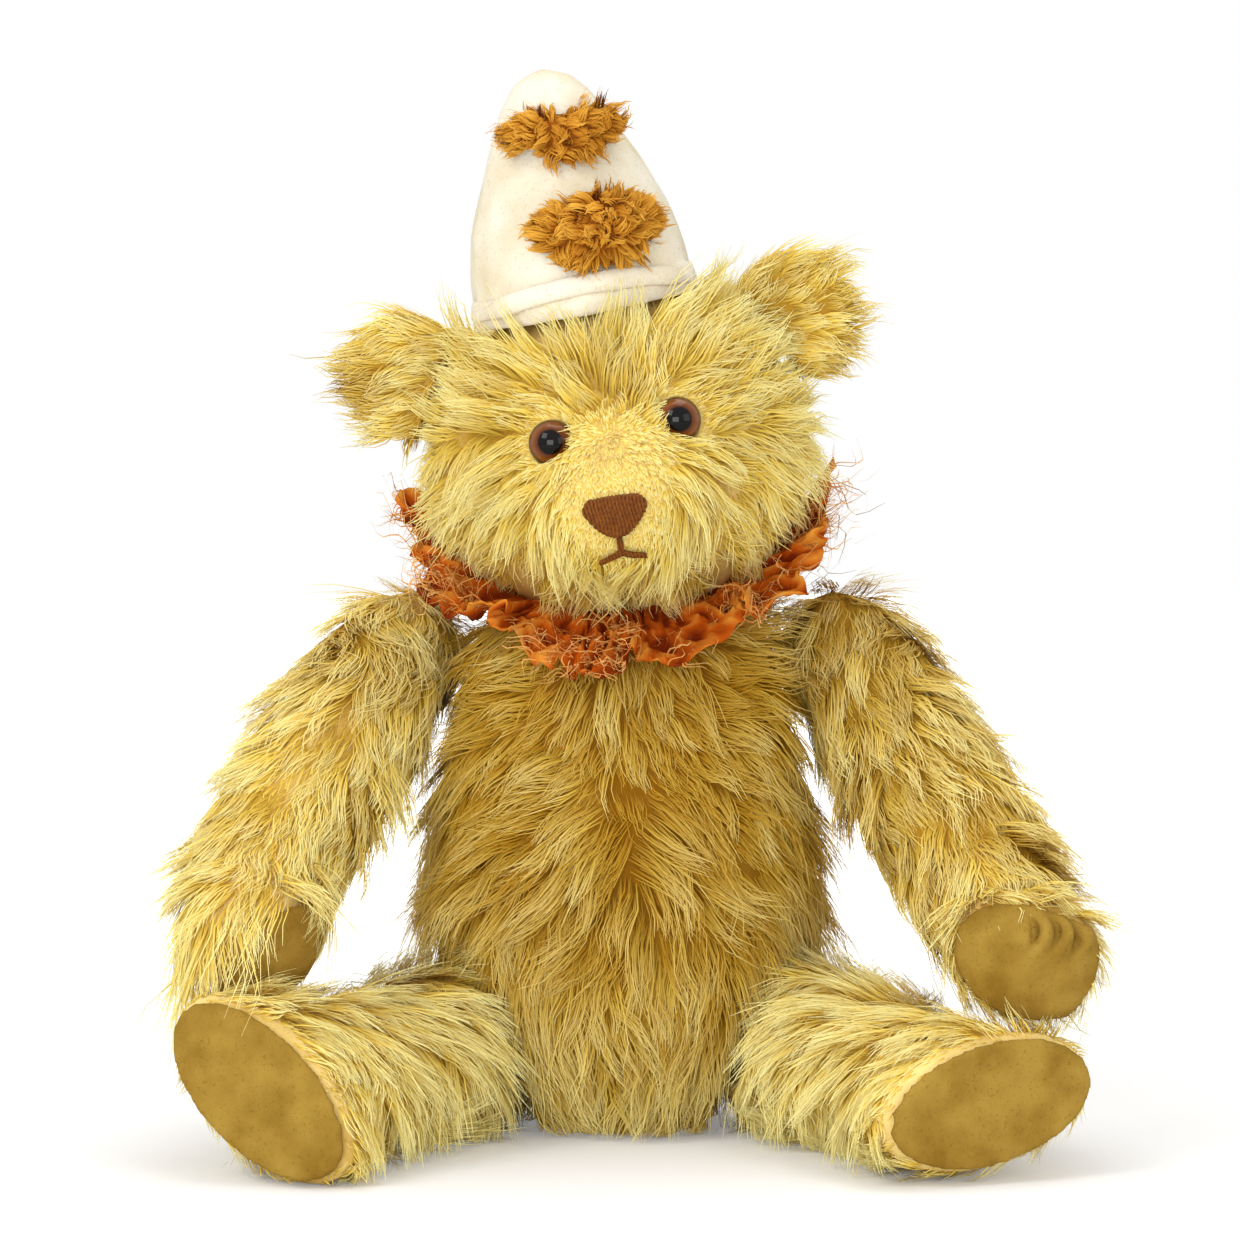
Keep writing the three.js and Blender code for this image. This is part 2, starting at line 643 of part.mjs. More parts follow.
// One upright stitch below the nose, parted into two at its lower end.
function mouth() {
  const top = NOSE_RAISE - NOSE_HEIGHT / 2 - FIT_GAP;
  const fork = top - MOUTH_DROP * 0.5;
  const [half, low, stroke] = [MOUTH_WIDTH / 2, top - MOUTH_DROP, STITCH_WIDTH];
  const outline = new THREE.Shape()
    .moveTo(stroke / 2, top)
    .lineTo(-stroke / 2, top)
    .lineTo(-stroke / 2, fork)
    .lineTo(-half, low + stroke)
    .lineTo(-half, low)
    .lineTo(0, fork - stroke)
    .lineTo(half, low)
    .lineTo(half, low + stroke)
    .lineTo(stroke / 2, fork);
  return meshOf("mouth", pressedOn(outline, STITCH_THICKNESS), THREAD);
}

function ear(name) {
  const direction = headDirection(SIDES[name] * 90, EAR_ELEVATION);
  const outward = direction.clone();
  const centre = headPoint(direction).addScaledVector(outward, EAR_STANDS_OUT);
  const facing = new THREE.Vector3(SIDES[name] * 0.25, -1, 0.1);
  const frame = frameOf(centre, facing, outward);
  const disc = new THREE.SphereGeometry(1, 16, 8).rotateX(Math.PI / 2);
  const leaf = solidOf(disc).scale([EAR_HEIGHT / 2, EAR_WIDTH / 2, EAR_THICKNESS / 2]);
  const cupDepth = EAR_THICKNESS / 2 + EAR_CUP;
  const cup = solidOf(disc)
    .scale([EAR_HEIGHT * 0.36, EAR_WIDTH * 0.36, EAR_CUP])
    .translate(-EAR_HEIGHT * 0.04, 0, cupDepth - EAR_CUP * 0.8);
  const solid = moved(leaf.subtract(cup), frame).subtract(headBlock(FIT_GAP));
  return meshOf(`ear_${name}`, solid, EAR_FUR);
}

// Hat, in its own frame: Z up its middle from the rim's plane

const HAT_CURVE = new THREE.SplineCurve(
  [[1, 0], [0.97, 0.25], [0.86, 0.43], [0.66, 0.64], [0.46, 0.83], [0.3, 0.94], [0, 1]].map(
    ([across, up]) => new THREE.Vector2((across * HAT_WIDTH) / 2, up * HAT_HEIGHT),
  ),
);
const HAT_IN_HEAD = new THREE.Matrix4()
  .makeTranslation(-HAT_SHIFT, 0, HEAD_HEIGHT / 2 - HAT_SET_DOWN)
  .multiply(new THREE.Matrix4().makeRotationY(-degToRad(HAT_LEAN)));
const HAT_SIDES = 20;

// The hat's outer form as a solid block, with the turned-up cuff round its rim.
function hatBlock(grow = 0) {
  const curve = HAT_CURVE.getPoints(7).map(({ x, y }) => [Math.max(0, x + (x > 0 ? grow : 0)), y]);
  const cone = turned([[0, 0], ...curve.slice(0, -1), [0, HAT_HEIGHT + grow]], HAT_SIDES);
  const radius = HAT_WIDTH / 2 + grow;
  const cuff = turned(
    [
      [0, 0],
      [radius + HAT_CUFF_STEP * 0.6, 0],
      [radius + HAT_CUFF_STEP, HAT_CUFF * 0.45],
      [radius + HAT_CUFF_STEP * 0.6, HAT_CUFF],
      [0, HAT_CUFF],
    ],
    HAT_SIDES,
  );
  const cube = new THREE.BoxGeometry(LARGE, LARGE, LARGE);
  const front = solidOf(cube.translate(0, -HAT_CUFF_REACH - LARGE / 2, 0));
  return cone.add(cuff.intersect(front));
}

function hatHollow() {
  const curve = HAT_CURVE.getPoints(7).map(({ x, y }) => [Math.max(0, x - HAT_WALL), y]);
  const open = curve.slice(0, -1);
  return turned([[0, -1], [HAT_WIDTH / 2 - HAT_WALL, -1], ...open, [0, HAT_HEIGHT - HAT_WALL]], HAT_SIDES);
}

function hat() {
  const head = moved(headBlock(FIT_GAP), HAT_IN_HEAD.clone().invert());
  return meshOf("hat", hatBlock().subtract(hatHollow()).subtract(head), HAT_FELT);
}

// A tuft of wool sewn to the hat's front: three bunches for the ragged upper one,
// five for the full lower one.
const POMPOM_BUNCHES = {
  lower: [[0, 0, 0.82], [0.55, 0.1, 0.62], [-0.55, 0.1, 0.62], [0.3, -0.42, 0.5], [-0.35, -0.42, 0.52]],
  upper: [[-0.52, 0.2, 0.6], [0.52, 0.16, 0.58], [0.12, -0.42, 0.56], [0, 0.1, 0.5]],
};

function pompom(name) {
  const height = POMPOM_HEIGHTS[name];
  const turn = degToRad(POMPOM_TURNS[name]);
  const onCurve = HAT_CURVE.getPoints(60).find(({ y }) => y >= height);
  const outward = new THREE.Vector3(Math.sin(turn), -Math.cos(turn), 0.3).normalize();
  const centre = new THREE.Vector3(Math.sin(turn) * onCurve.x, -Math.cos(turn) * onCurve.x, height);
  const frame = frameOf(centre, outward, new THREE.Vector3(1, 0, 0));
  const [half, tall, deep] = [POMPOM_WIDTHS[name] / 2, POMPOM_TALL[name] / 2, POMPOM_DEEP[name]];
  const bunch = ([across, up, size]) => {
    const ball = solidOf(new THREE.IcosahedronGeometry(1, 1));
    const scaled = ball.scale([half * size, tall * size * 1.15, deep * size]);
    return scaled.translate(across * half * 0.85, up * tall, 0);
  };
  const bunches = POMPOM_BUNCHES[name].map(bunch);
  const whole = bunches.reduce((sum, next) => sum.add(next));
  return meshOf(`hat_pompom_${name}`, moved(whole, frame).subtract(hatBlock(FIT_GAP)), WOOL);
}

// Ruff, in the neck's frame: a pleated ring that stands up at the sides and droops in front

function ruff() {
  const [inner, outer] = [RUFF_INNER / 2, RUFF_OUTER / 2];
  const strip = new THREE.TorusGeometry(2, 1, 6, RUFF_PLEATS * 6);
  const place = strip.attributes.position;
  for (let i = 0; i < place.count; i++) {
    const angle = Math.atan2(place.getY(i), place.getX(i));
    const reach = Math.hypot(place.getX(i), place.getY(i)) - 2;
    const share = THREE.MathUtils.clamp((reach + 1) / 2, 0, 1);
    const sideways = Math.cos(angle) ** 2;
    const wave = Math.sin(RUFF_PLEATS * angle + 0.8 * Math.sin(2 * angle));
    const pleat = Math.sign(wave) * Math.abs(wave) ** 0.7 * RUFF_PLEAT_DEPTH * share;
    const rise = lerp(RUFF_RISE_FRONT, RUFF_RISE_SIDE, sideways) * share ** 1.2;
    const radius = lerp(inner, outer, share) - 2 * share * Math.cos(2 * RUFF_PLEATS * angle);
    const height = RUFF_BASE + rise + pleat + (place.getZ(i) * RUFF_CLOTH) / 2;
    place.setXYZ(i, radius * Math.cos(angle), radius * Math.sin(angle), height);
  }
  const seat = moved(headBlock(FIT_GAP), HEAD_IN_NECK);
  return meshOf("neck_ruff", solidOf(strip).subtract(seat), RUFF_COTTON);
}

function head() {
  let solid = headBlock();
  const base = below(FACE_GAP / 2).add(pocket(DISCS.neck));
  solid = solid.subtract(moved(base, NECK_IN_HEAD));
  for (const side of Object.values(SIDES)) {
    solid = solid.subtract(moved(eyeBall(FIT_GAP), eyeFrame(side)));
  }
  return meshOf("head", solid, FUR);
}

// The bear: each limb hangs in the frame of its joint

function groupIn(matrix, ...children) {
  const group = new THREE.Group();
  group.applyMatrix4(matrix);
  group.add(...children.flat());
  return group;
}

const hatGroup = groupIn(HAT_IN_HEAD, hat(), pompom("lower"), pompom("upper"));
const headGroup = groupIn(
  HEAD_IN_NECK,
  head(),
  nose(),
  mouth(),
  Object.keys(SIDES).map((name) => [eye(name), ear(name)]).flat(),
  hatGroup,
);
const bear = new THREE.Group();
bear.add(torso());
bear.add(groupIn(FRAMES.neck, headGroup, ruff(), hardware("neck", "head")));
for (const name of Object.keys(SIDES)) {
  bear.add(groupIn(FRAMES[`shoulder_${name}`], arm(name), hardware(`shoulder_${name}`, "arm")));
  bear.add(groupIn(FRAMES[`hip_${name}`], leg(name), hardware(`hip_${name}`, "leg")));
}

export default bear;
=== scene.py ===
# %% [markdown]
# # A threadbare teddy bear in a clown hat and ruff
#
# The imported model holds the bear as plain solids: stuffed limbs, felt pads, a hat, a ruff and the discs inside its
# joints. This lesson dresses those solids. Each stuffed limb gets a cloth skin and a coat of mohair, strand by
# strand, and the hat, the ruff, the wool and the face get the make of the real ones. Nothing is moved: every piece
# starts from the solid that it stands for.

import json
import math

import bmesh
import bpy
import numpy as np
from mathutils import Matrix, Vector, noise
from mathutils.bvhtree import BVHTree


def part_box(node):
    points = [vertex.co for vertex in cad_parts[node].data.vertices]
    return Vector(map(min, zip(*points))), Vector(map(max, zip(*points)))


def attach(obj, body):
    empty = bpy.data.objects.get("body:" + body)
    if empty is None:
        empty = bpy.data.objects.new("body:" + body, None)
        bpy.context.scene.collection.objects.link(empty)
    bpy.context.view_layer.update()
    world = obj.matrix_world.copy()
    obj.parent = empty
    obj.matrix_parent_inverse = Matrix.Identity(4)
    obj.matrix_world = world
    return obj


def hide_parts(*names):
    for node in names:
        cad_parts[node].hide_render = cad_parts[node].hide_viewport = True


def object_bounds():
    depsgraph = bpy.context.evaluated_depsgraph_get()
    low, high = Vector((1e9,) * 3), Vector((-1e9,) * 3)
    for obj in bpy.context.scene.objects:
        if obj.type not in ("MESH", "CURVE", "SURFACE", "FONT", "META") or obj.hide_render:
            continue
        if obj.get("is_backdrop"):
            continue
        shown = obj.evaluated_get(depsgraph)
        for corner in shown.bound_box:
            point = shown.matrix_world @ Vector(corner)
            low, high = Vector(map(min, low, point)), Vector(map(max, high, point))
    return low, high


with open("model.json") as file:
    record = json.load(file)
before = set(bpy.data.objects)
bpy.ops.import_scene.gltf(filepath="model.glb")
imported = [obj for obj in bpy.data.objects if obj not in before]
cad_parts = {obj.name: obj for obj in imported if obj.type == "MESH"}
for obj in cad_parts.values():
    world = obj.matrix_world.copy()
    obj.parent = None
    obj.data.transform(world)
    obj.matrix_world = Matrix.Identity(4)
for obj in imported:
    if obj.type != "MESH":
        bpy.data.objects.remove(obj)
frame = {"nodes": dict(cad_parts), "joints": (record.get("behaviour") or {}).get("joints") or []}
cad_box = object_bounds()
MM = 0.001
SIDES = {"left": 1, "right": -1}
print("solids:", len(frame["nodes"]), "box:", [tuple(round(v, 4) for v in corner) for corner in cad_box])

# %% [markdown]
# ## Small helpers
#
# Geometry Nodes and shader nodes are both built here by the same few helpers. `put` adds one node and fills its
# inputs, either with plain values or with links from other nodes. `calc` and `vec` are the two kinds of arithmetic.

# %% Node helpers


def feed(tree, socket, value):
    """Fills one input with a plain value, or with a link from a socket or from a node's first output."""
    if isinstance(value, bpy.types.Node):
        value = value.outputs[0]
    if isinstance(value, bpy.types.NodeSocket):
        tree.links.new(value, socket)
    else:
        socket.default_value = value


def put(tree, kind, inputs=None, **settings):
    node = tree.nodes.new(kind)
    for name, value in settings.items():
        setattr(node, name, value)
    for key, value in (inputs or {}).items():
        feed(tree, node.inputs[key], value)
    return node


def calc(tree, operation, *values):
    return put(tree, "ShaderNodeMath", dict(enumerate(values)), operation=operation).outputs[0]


def vec(tree, operation, *values):
    node = put(tree, "ShaderNodeVectorMath", operation=operation)
    for i, value in enumerate(values):
        feed(tree, node.inputs["Scale"] if operation == "SCALE" and i == 1 else node.inputs[i], value)
    return node.outputs["Value" if operation == "LENGTH" else "Vector"]


def geometry_tree(name, sizes):
    """An empty tree with a mesh going in, named sizes, and a mesh coming out."""
    tree = bpy.data.node_groups.new(name, "GeometryNodeTree")
    tree.interface.new_socket("Geometry", in_out="INPUT", socket_type="NodeSocketGeometry")
    for label, kind in sizes.items():
        tree.interface.new_socket(label, in_out="INPUT", socket_type="NodeSocket" + kind)
    tree.interface.new_socket("Geometry", in_out="OUTPUT", socket_type="NodeSocketGeometry")
    return tree, tree.nodes.new("NodeGroupInput"), tree.nodes.new("NodeGroupOutput")


def new_piece(name, mesh):
    piece = bpy.data.objects.new(name, mesh)
    bpy.context.collection.objects.link(piece)
    return piece


def grown(name, base, tree, sizes):
    """The plain mesh that a tree makes of a base mesh, as a new object."""
    source = new_piece(name + "_base", base)
    modifier = source.modifiers.new("grow", "NODES")
    modifier.node_group = tree
    for item in tree.interface.items_tree:
        if item.item_type == "SOCKET" and item.in_out == "INPUT" and item.name in sizes:
            modifier[item.identifier] = sizes[item.name]
    source.update_tag()
    graph = bpy.context.evaluated_depsgraph_get()
    mesh = bpy.data.meshes.new_from_object(source.evaluated_get(graph), depsgraph=graph)
    mesh.name = name
    bpy.data.objects.remove(source)
    print(name, "faces:", len(mesh.polygons))
    return new_piece(name, mesh)


# %% Mesh helpers


def solid_copy(node):
    """A merged copy of a solid's mesh, as a new object at the origin."""
    mesh = frame["nodes"][node].data.copy()
    mesh.materials.clear()
    work = bmesh.new()
    work.from_mesh(mesh)
    bmesh.ops.remove_doubles(work, verts=work.verts, dist=1e-6)
    work.to_mesh(mesh)
    work.free()
    return new_piece(node + "_copy", mesh)


def apply_modifiers(piece):
    graph = bpy.context.evaluated_depsgraph_get()
    mesh = bpy.data.meshes.new_from_object(piece.evaluated_get(graph), depsgraph=graph)
    piece.modifiers.clear()
    piece.data = mesh
    return piece


def softened(node, voxel, passes):
    """A copy of a solid with soft edges: remeshed evenly, or only divided where no voxel size is given."""
    piece = solid_copy(node)
    if voxel:
        even = piece.modifiers.new("even", "REMESH")
        even.mode = "VOXEL"
        even.voxel_size = voxel
    else:
        even = piece.modifiers.new("even", "SUBSURF")
        even.subdivision_type = "SIMPLE"
        even.levels = even.render_levels = 2
    relax = piece.modifiers.new("relax", "SMOOTH")
    relax.iterations = passes
    relax.factor = 0.5
    return apply_modifiers(piece)


def finished(piece, made):
    """The piece with smooth shading and one material."""
    mesh = piece.data
    mesh.polygons.foreach_set("use_smooth", np.ones(len(mesh.polygons), dtype=bool))
    mesh.materials.clear()
    mesh.materials.append(made)
    return piece


def points_of(mesh):
    flat = np.empty(len(mesh.vertices) * 3)
    mesh.vertices.foreach_get("co", flat)
    return flat.reshape(-1, 3)


def normals_of(mesh):
    flat = np.empty(len(mesh.vertices) * 3)
    mesh.vertex_normals.foreach_get("vector", flat)
    return flat.reshape(-1, 3)


def move_points(mesh, points):
    mesh.vertices.foreach_set("co", np.ascontiguousarray(points, dtype=np.float32).ravel())
    mesh.update()


def centre_of(node):
    low, high = (np.array(corner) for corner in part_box(node))
    return (low + high) / 2


def unit(rows):
    """One vector, or each row of an array of them, brought to length 1."""
    return rows / np.maximum(np.linalg.norm(rows, axis=-1, keepdims=True), 1e-9)


def smooth_step(x, low, high):
    """0 up to the low value, 1 from the high one on."""
    t = np.clip((x - low) / (high - low), 0, 1)
    return t * t * (3 - 2 * t)


def fading(x, low, high):
    return 1 - smooth_step(x, low, high)


def below(x, high, low):
    """0 down to the high value, 1 from the low one on."""
    return smooth_step(-x, -high, -low)


def surface_tree(nodes):
    """A search tree over the faces of some solids."""
    verts, faces = [], []
    for node in nodes:
        mesh = frame["nodes"][node].data
        start = len(verts)
        verts += [v.co.copy() for v in mesh.vertices]
        faces += [[start + i for i in p.vertices] for p in mesh.polygons]
    return BVHTree.FromPolygons(verts, faces)


# %% [markdown]
# ## The mohair's colour
#
# Mohair here runs from gold at a strand's root to cream at its tip. Every strand carries its own map: across the map
# runs how pale the strand is, and up the map runs the way from its root to its tip. The colour is a plain rule of
# those two numbers, so all the strands can share one small picture.

# %% Mohair and its cloth backing


def material(name, roughness, specular=0.5):
    made = bpy.data.materials.new(name)
    made.use_nodes = True
    tree = made.node_tree
    shader = tree.nodes["Principled BSDF"]
    shader.inputs["Roughness"].default_value = roughness
    shader.inputs["Specular IOR Level"].default_value = specular
    return made, tree, shader


def stored(tree, name):
    """A number that the mesh keeps at its points."""
    return put(tree, "ShaderNodeAttribute", attribute_name=name).outputs["Fac"]


def grain(tree, scale, detail, **more):
    """Noise in the object's own space."""
    place = put(tree, "ShaderNodeTexCoord").outputs["Object"]
    return put(tree, "ShaderNodeTexNoise", {"Vector": place, "Scale": scale, "Detail": detail, **more}).outputs[0]


def roughen(tree, shader, height, strength, depth):
    bump = put(tree, "ShaderNodeBump", {"Strength": strength, "Distance": depth, "Height": height})
    tree.links.new(bump.outputs[0], shader.inputs["Normal"])


def srgb(red, green, blue):
    """A colour as read off a picture, in the linear numbers that a shader takes."""
    channels = [c / 255 for c in (red, green, blue)]
    return tuple(c / 12.92 if c < 0.04045 else ((c + 0.055) / 1.055) ** 2.4 for c in channels) + (1,)


def ramp(tree, value, stops):
    node = put(tree, "ShaderNodeValToRGB", {0: value})
    marks = node.color_ramp.elements
    marks[0].position, marks[0].color = stops[0]
    marks[1].position, marks[1].color = stops[-1]
    for place, colour in stops[1:-1]:
        marks.new(place).color = colour
    return node.outputs["Color"]


def mix(tree, share, first, second):
    return put(tree, "ShaderNodeMix", {0: share, 6: first, 7: second}, data_type="RGBA").outputs[2]


STRAND_MAP = "OFBake"


def strand_chart(tree):
    """A strand's paleness, and the share of the way from its root to its tip."""
    place = put(tree, "ShaderNodeUVMap", uv_map=STRAND_MAP)
    return put(tree, "ShaderNodeSeparateXYZ", {0: place}).outputs[:2]


def mohair_material():
    made, tree, shader = material("mohair", 0.55, 0.12)
    tone, along = strand_chart(tree)
    stained = ramp(
        tree, along, [(0, srgb(132, 82, 2)), (0.35, srgb(174, 124, 14)), (1, srgb(212, 170, 56))]
    )
    pale = ramp(
        tree, along, [(0, srgb(208, 164, 44)), (0.35, srgb(244, 212, 92)), (1, srgb(255, 249, 180))]
    )
    tree.links.new(mix(tree, tone, stained, pale), shader.inputs["Base Color"])
    return made


def backing_material():
    made, tree, shader = material("mohair_backing", 0.95, 0.1)
    paleness = calc(tree, "MULTIPLY_ADD", stored(tree, "tone"), 0.75, -0.3)
    shade = calc(tree, "MULTIPLY_ADD", grain(tree, 60, 4), 0.5, paleness)
    colour = ramp(tree, shade, [(0, srgb(132, 88, 10)), (0.45, srgb(184, 140, 44)), (0.85, srgb(250, 222, 142))])
    tree.links.new(colour, shader.inputs["Base Color"])
    roughen(tree, shader, grain(tree, 900, 2), 0.4, 0.4 * MM)
    return made


MOHAIR = mohair_material()
BACKING = backing_material()

# %% [markdown]
# ## The skins
#
# Under the pile lies the woven cloth that holds the stuffing. The solids stand for the pile's outside, so each skin
# is its solid remeshed evenly and softened, pressed out from inside by Blender's Cloth as stuffing does, and then
# drawn in by the pile's depth.

# %% Skins

BODY_OF = {
    "torso": "torso", "head": "head", "ear_left": "head", "ear_right": "head",
    "arm_left": "arm_left", "arm_right": "arm_right", "leg_left": "leg_left", "leg_right": "leg_right",
}
FINE_VOXEL = {"ear_left": 1.8 * MM, "ear_right": 1.8 * MM, "head": 2.8 * MM}
SKIN_VOXEL = 3.8 * MM
SKIN_PASSES = 6
STUFFING_PRESSURE = 4
STUFFING_FRAMES = 20
MOST_SWELL = 1.2 * MM


def stuffed(pieces, cap):
    """Presses the skins out from inside, as stuffing does. No point moves more than the cap."""
    starts = [points_of(piece.data) for piece in pieces]
    for piece in pieces:
        cloth = piece.modifiers.new("stuffing", "CLOTH")
        cloth.settings.quality = 3
        cloth.settings.use_pressure = True
        cloth.settings.uniform_pressure_force = STUFFING_PRESSURE
        cloth.settings.effector_weights.gravity = 0
    for number in range(1, STUFFING_FRAMES + 1):
        bpy.context.scene.frame_set(number)
    graph = bpy.context.evaluated_depsgraph_get()
    ends = [points_of(piece.evaluated_get(graph).data) for piece in pieces]
    for piece, start, end in zip(pieces, starts, ends):
        piece.modifiers.clear()
        moved = end - start
        far = np.linalg.norm(moved, axis=1, keepdims=True)
        move_points(piece.data, start + moved * np.minimum(1, cap / np.maximum(far, 1e-9)))
        print(piece.name, "swelled by", round(float(np.minimum(far, cap).mean() / MM), 2), "mm")
    bpy.context.scene.frame_set(1)


def biggest_island(mesh):
    """Drops the loose scraps that a remesh leaves, such as those inside the solid's hollows."""
    work = bmesh.new()
    work.from_mesh(mesh)
    islands = []
    left = set(work.verts)
    while left:
        group, edge = set(), [left.pop()]
        while edge:
            vert = edge.pop()
            group.add(vert)
            for link in vert.link_edges:
                other = link.other_vert(vert)
                if other in left:
                    left.discard(other)
                    edge.append(other)
        islands.append(group)
    islands.sort(key=len)
    bmesh.ops.delete(work, geom=[v for g in islands[:-1] for v in g], context="VERTS")
    work.to_mesh(mesh)
    work.free()


def soft_skin(node):
    piece = softened(node, FINE_VOXEL.get(node, SKIN_VOXEL), SKIN_PASSES)
    biggest_island(piece.data)
    piece.name = piece.data.name = node + "_skin"
    print(piece.name, "points:", len(piece.data.vertices))
    return finished(piece, BACKING)


NOSE = centre_of("nose")
EYES = {side: centre_of("eye_" + side) for side in SIDES}
BROW = (EYES["left"] + EYES["right"]) / 2
HEAD = centre_of("head")


def from_muzzle(points):
    """How far points lie from the clipped muzzle, which runs from the nose up to between the eyes."""
    way = BROW - NOSE
    share = np.clip(((points - NOSE) @ way) / (way @ way), -0.35, 0.6)
    return np.linalg.norm(points - (NOSE + share[:, None] * way), axis=1)


def from_eyes(points):
    return np.minimum(*[np.linalg.norm(points - eye, axis=1) for eye in EYES.values()])


def distance_to(nodes, points):
    tree = surface_tree(nodes)
    return np.array([tree.find_nearest(Vector(point))[3] for point in points])


PADS = {"arm_": "paw_pad_", "leg_": "foot_pad_"}
PAD_OF = {limb + side: pad + side for side in SIDES for limb, pad in PADS.items()}


def pile_depth(node, points):
    """How far the skin lies under the solid's surface."""
    if node == "head":
        near = np.minimum(from_muzzle(points) / (24 * MM), from_eyes(points) / (15 * MM))
        return (0.4 + 3.0 * smooth_step(near, 0.6, 1.6)) * MM
    if node in PAD_OF:
        return (0.4 + 3.0 * smooth_step(distance_to([PAD_OF[node]], points), 2.5 * MM, 10 * MM)) * MM
    return np.full(len(points), (1.6 if node.startswith("ear") else 2.6) * MM)


skins = {node: soft_skin(node) for node in BODY_OF}
stuffed(list(skins.values()), MOST_SWELL)
for node, skin in skins.items():
    points, normals = points_of(skin.data), normals_of(skin.data)
    move_points(skin.data, points - normals * pile_depth(node, points)[:, None])

# %% [markdown]
# ## How the pile lies
#
# Each skin gets four numbers at every point: which way the pile is combed, how long it is, how thick it still grows
# and how pale it is. The belly's pile parts at the front seam and sweeps out and down, the limbs' runs to the paws
# and feet, and the head's runs outwards from between the eyes. The muzzle is clipped short, and behind the neck the
# torso's pile stands up under the ruff. Where a face lies against a neighbour, as at the joints and under the pads,
# no pile grows.

# %% Comb rules


def keep(mesh, name, values):
    kind, field = ("FLOAT_VECTOR", "vector") if values.ndim == 2 else ("FLOAT", "value")
    layer = mesh.attributes.new(name, kind, "POINT")
    layer.data.foreach_set(field, np.ascontiguousarray(values, np.float32).ravel())


def along_surface(direction, normals):
    return unit(direction - normals * np.sum(direction * normals, axis=1, keepdims=True))


def mottle(points, size, salt=0.0):
    """Soft random patches between -1 and 1, of about the given size."""
    return np.array([noise.noise(Vector(point) / size + Vector((salt, 0, 0))) for point in points])


def reach(points, normals, nodes, limit):
    """How far it is outwards from a skin to some solids, or the limit where nothing is met."""
    tree = surface_tree(nodes)
    result = np.full(len(points), limit)
    for i, (point, normal) in enumerate(zip(points, normals)):
        hit = tree.ray_cast(Vector(point), Vector(normal), limit)
        if hit[0] is not None:
            result[i] = hit[3]
    return result


def under_hat(points):
    """True where the hat's inner face is straight above a point."""
    tree = surface_tree(["hat"])
    middle = centre_of("hat")
    up = unit(middle - HEAD)
    from_axis = points - middle
    from_axis -= np.outer(from_axis @ up, up)
    covered = np.zeros(len(points), dtype=bool)
    for i, point in enumerate(points):
        hit = tree.ray_cast(Vector(point), Vector(up), 120 * MM)
        covered[i] = hit[0] is not None and np.dot(hit[1], from_axis[i]) < 0
    return covered


# Bands on the torso: where a rule starts, and where it is full.
BELLY_FRONT = (-10 * MM, 25 * MM)
PARTING_WIDTH = 13 * MM
SWEEP_HEIGHT, SWEEP_SPREAD = 98 * MM, 34 * MM
SEAT_HEIGHT = (48 * MM, 8 * MM)
SHOULDER_HEIGHT, SHOULDER_OUT, SHOULDER_FRONT = (118 * MM, 140 * MM), (18 * MM, 34 * MM), (-8 * MM, 6 * MM)


def comb_torso(points):
    x, y, z = points.T
    parting = np.tanh(x / PARTING_WIDTH) * smooth_step(-y, *BELLY_FRONT)
    sweep = 1.15 * np.exp(-(((z - SWEEP_HEIGHT) / SWEEP_SPREAD) ** 2)) - 0.8 * below(z, *SEAT_HEIGHT)
    shoulder = smooth_step(z, *SHOULDER_HEIGHT) * smooth_step(np.abs(x), *SHOULDER_OUT)
    shoulder *= smooth_step(-y, *SHOULDER_FRONT)
    return np.stack([parting * sweep + 2 * shoulder * np.sign(x), np.zeros_like(x), shoulder - 1], 1)


def comb_head(points):
    crown = 0.7 * BROW + 0.3 * NOSE
    droop = np.where(points[:, 2] > BROW[2], 0.05, 0.45)
    return unit(points - crown) - droop[:, None] * np.array([0, 0, 1])


def comb_limb(node, droop, tuck, flare, lean):
    """Down the limb and outwards round its pad. An arm's top turns in over its joint, and a leg leans inwards."""
    start, end = JOINT[node], centre_of(PAD_OF[node])
    way = unit(end - start)
    inwards = np.array([-np.sign(start[0]), 0, 0.9])

    def rule(points):
        top = tuck * smooth_step(points[:, 2] - start[2], 2 * MM, 18 * MM)
        top *= smooth_step(start[1] - points[:, 1], -2 * MM, 10 * MM)
        rim = flare * fading(distance_to([PAD_OF[node]], points), 4 * MM, 20 * MM)
        from_axis = points - end
        from_axis = unit(from_axis - np.outer(from_axis @ way, way))
        fall = way * (1 - 0.6 * lean) - np.array([lean * np.sign(start[0]), 0, droop])
        return fall * (1 - 0.6 * rim)[:, None] + rim[:, None] * from_axis + top[:, None] * inwards

    return rule


def comb_ear(node):
    base = HEAD + (centre_of(node) - HEAD) * 0.45
    return lambda points: unit(points - base) - np.array([0, 0, 0.35])


JOINT = {joint["child"]: np.array(joint["pos_m"]) for joint in frame["joints"]}
COMB = {"torso": comb_torso, "head": comb_head}
for side in SIDES:
    COMB["arm_" + side] = comb_limb("arm_" + side, 0.45, 0.7, 0.8 if side == "left" else 0, 0)
    COMB["leg_" + side] = comb_limb("leg_" + side, 0.7, 0, 0.7, 0.9)
    COMB["ear_" + side] = comb_ear("ear_" + side)

# %% Length, thickness and tone

# How pale each part's pile is. The legs are set paler partly as painted light, making up for the shade on their tops,
# and the right arm is paler than the left partly as painted light from the key lamp's side.
TONE = {
    "torso": 0.1, "head": 0.86, "ear_left": 0.6, "ear_right": 0.6,
    "arm_left": 0.46, "arm_right": 0.75, "leg_left": 1.1, "leg_right": 0.95,
}
# Lengths in millimetres. The cuff is the tuft round the right arm's pad.
SHORN_PILE = 2.0
HEAD_PILE = 12
EAR_PILE = 6
BODY_PILE = 15.5
CUFF_PILE = 9
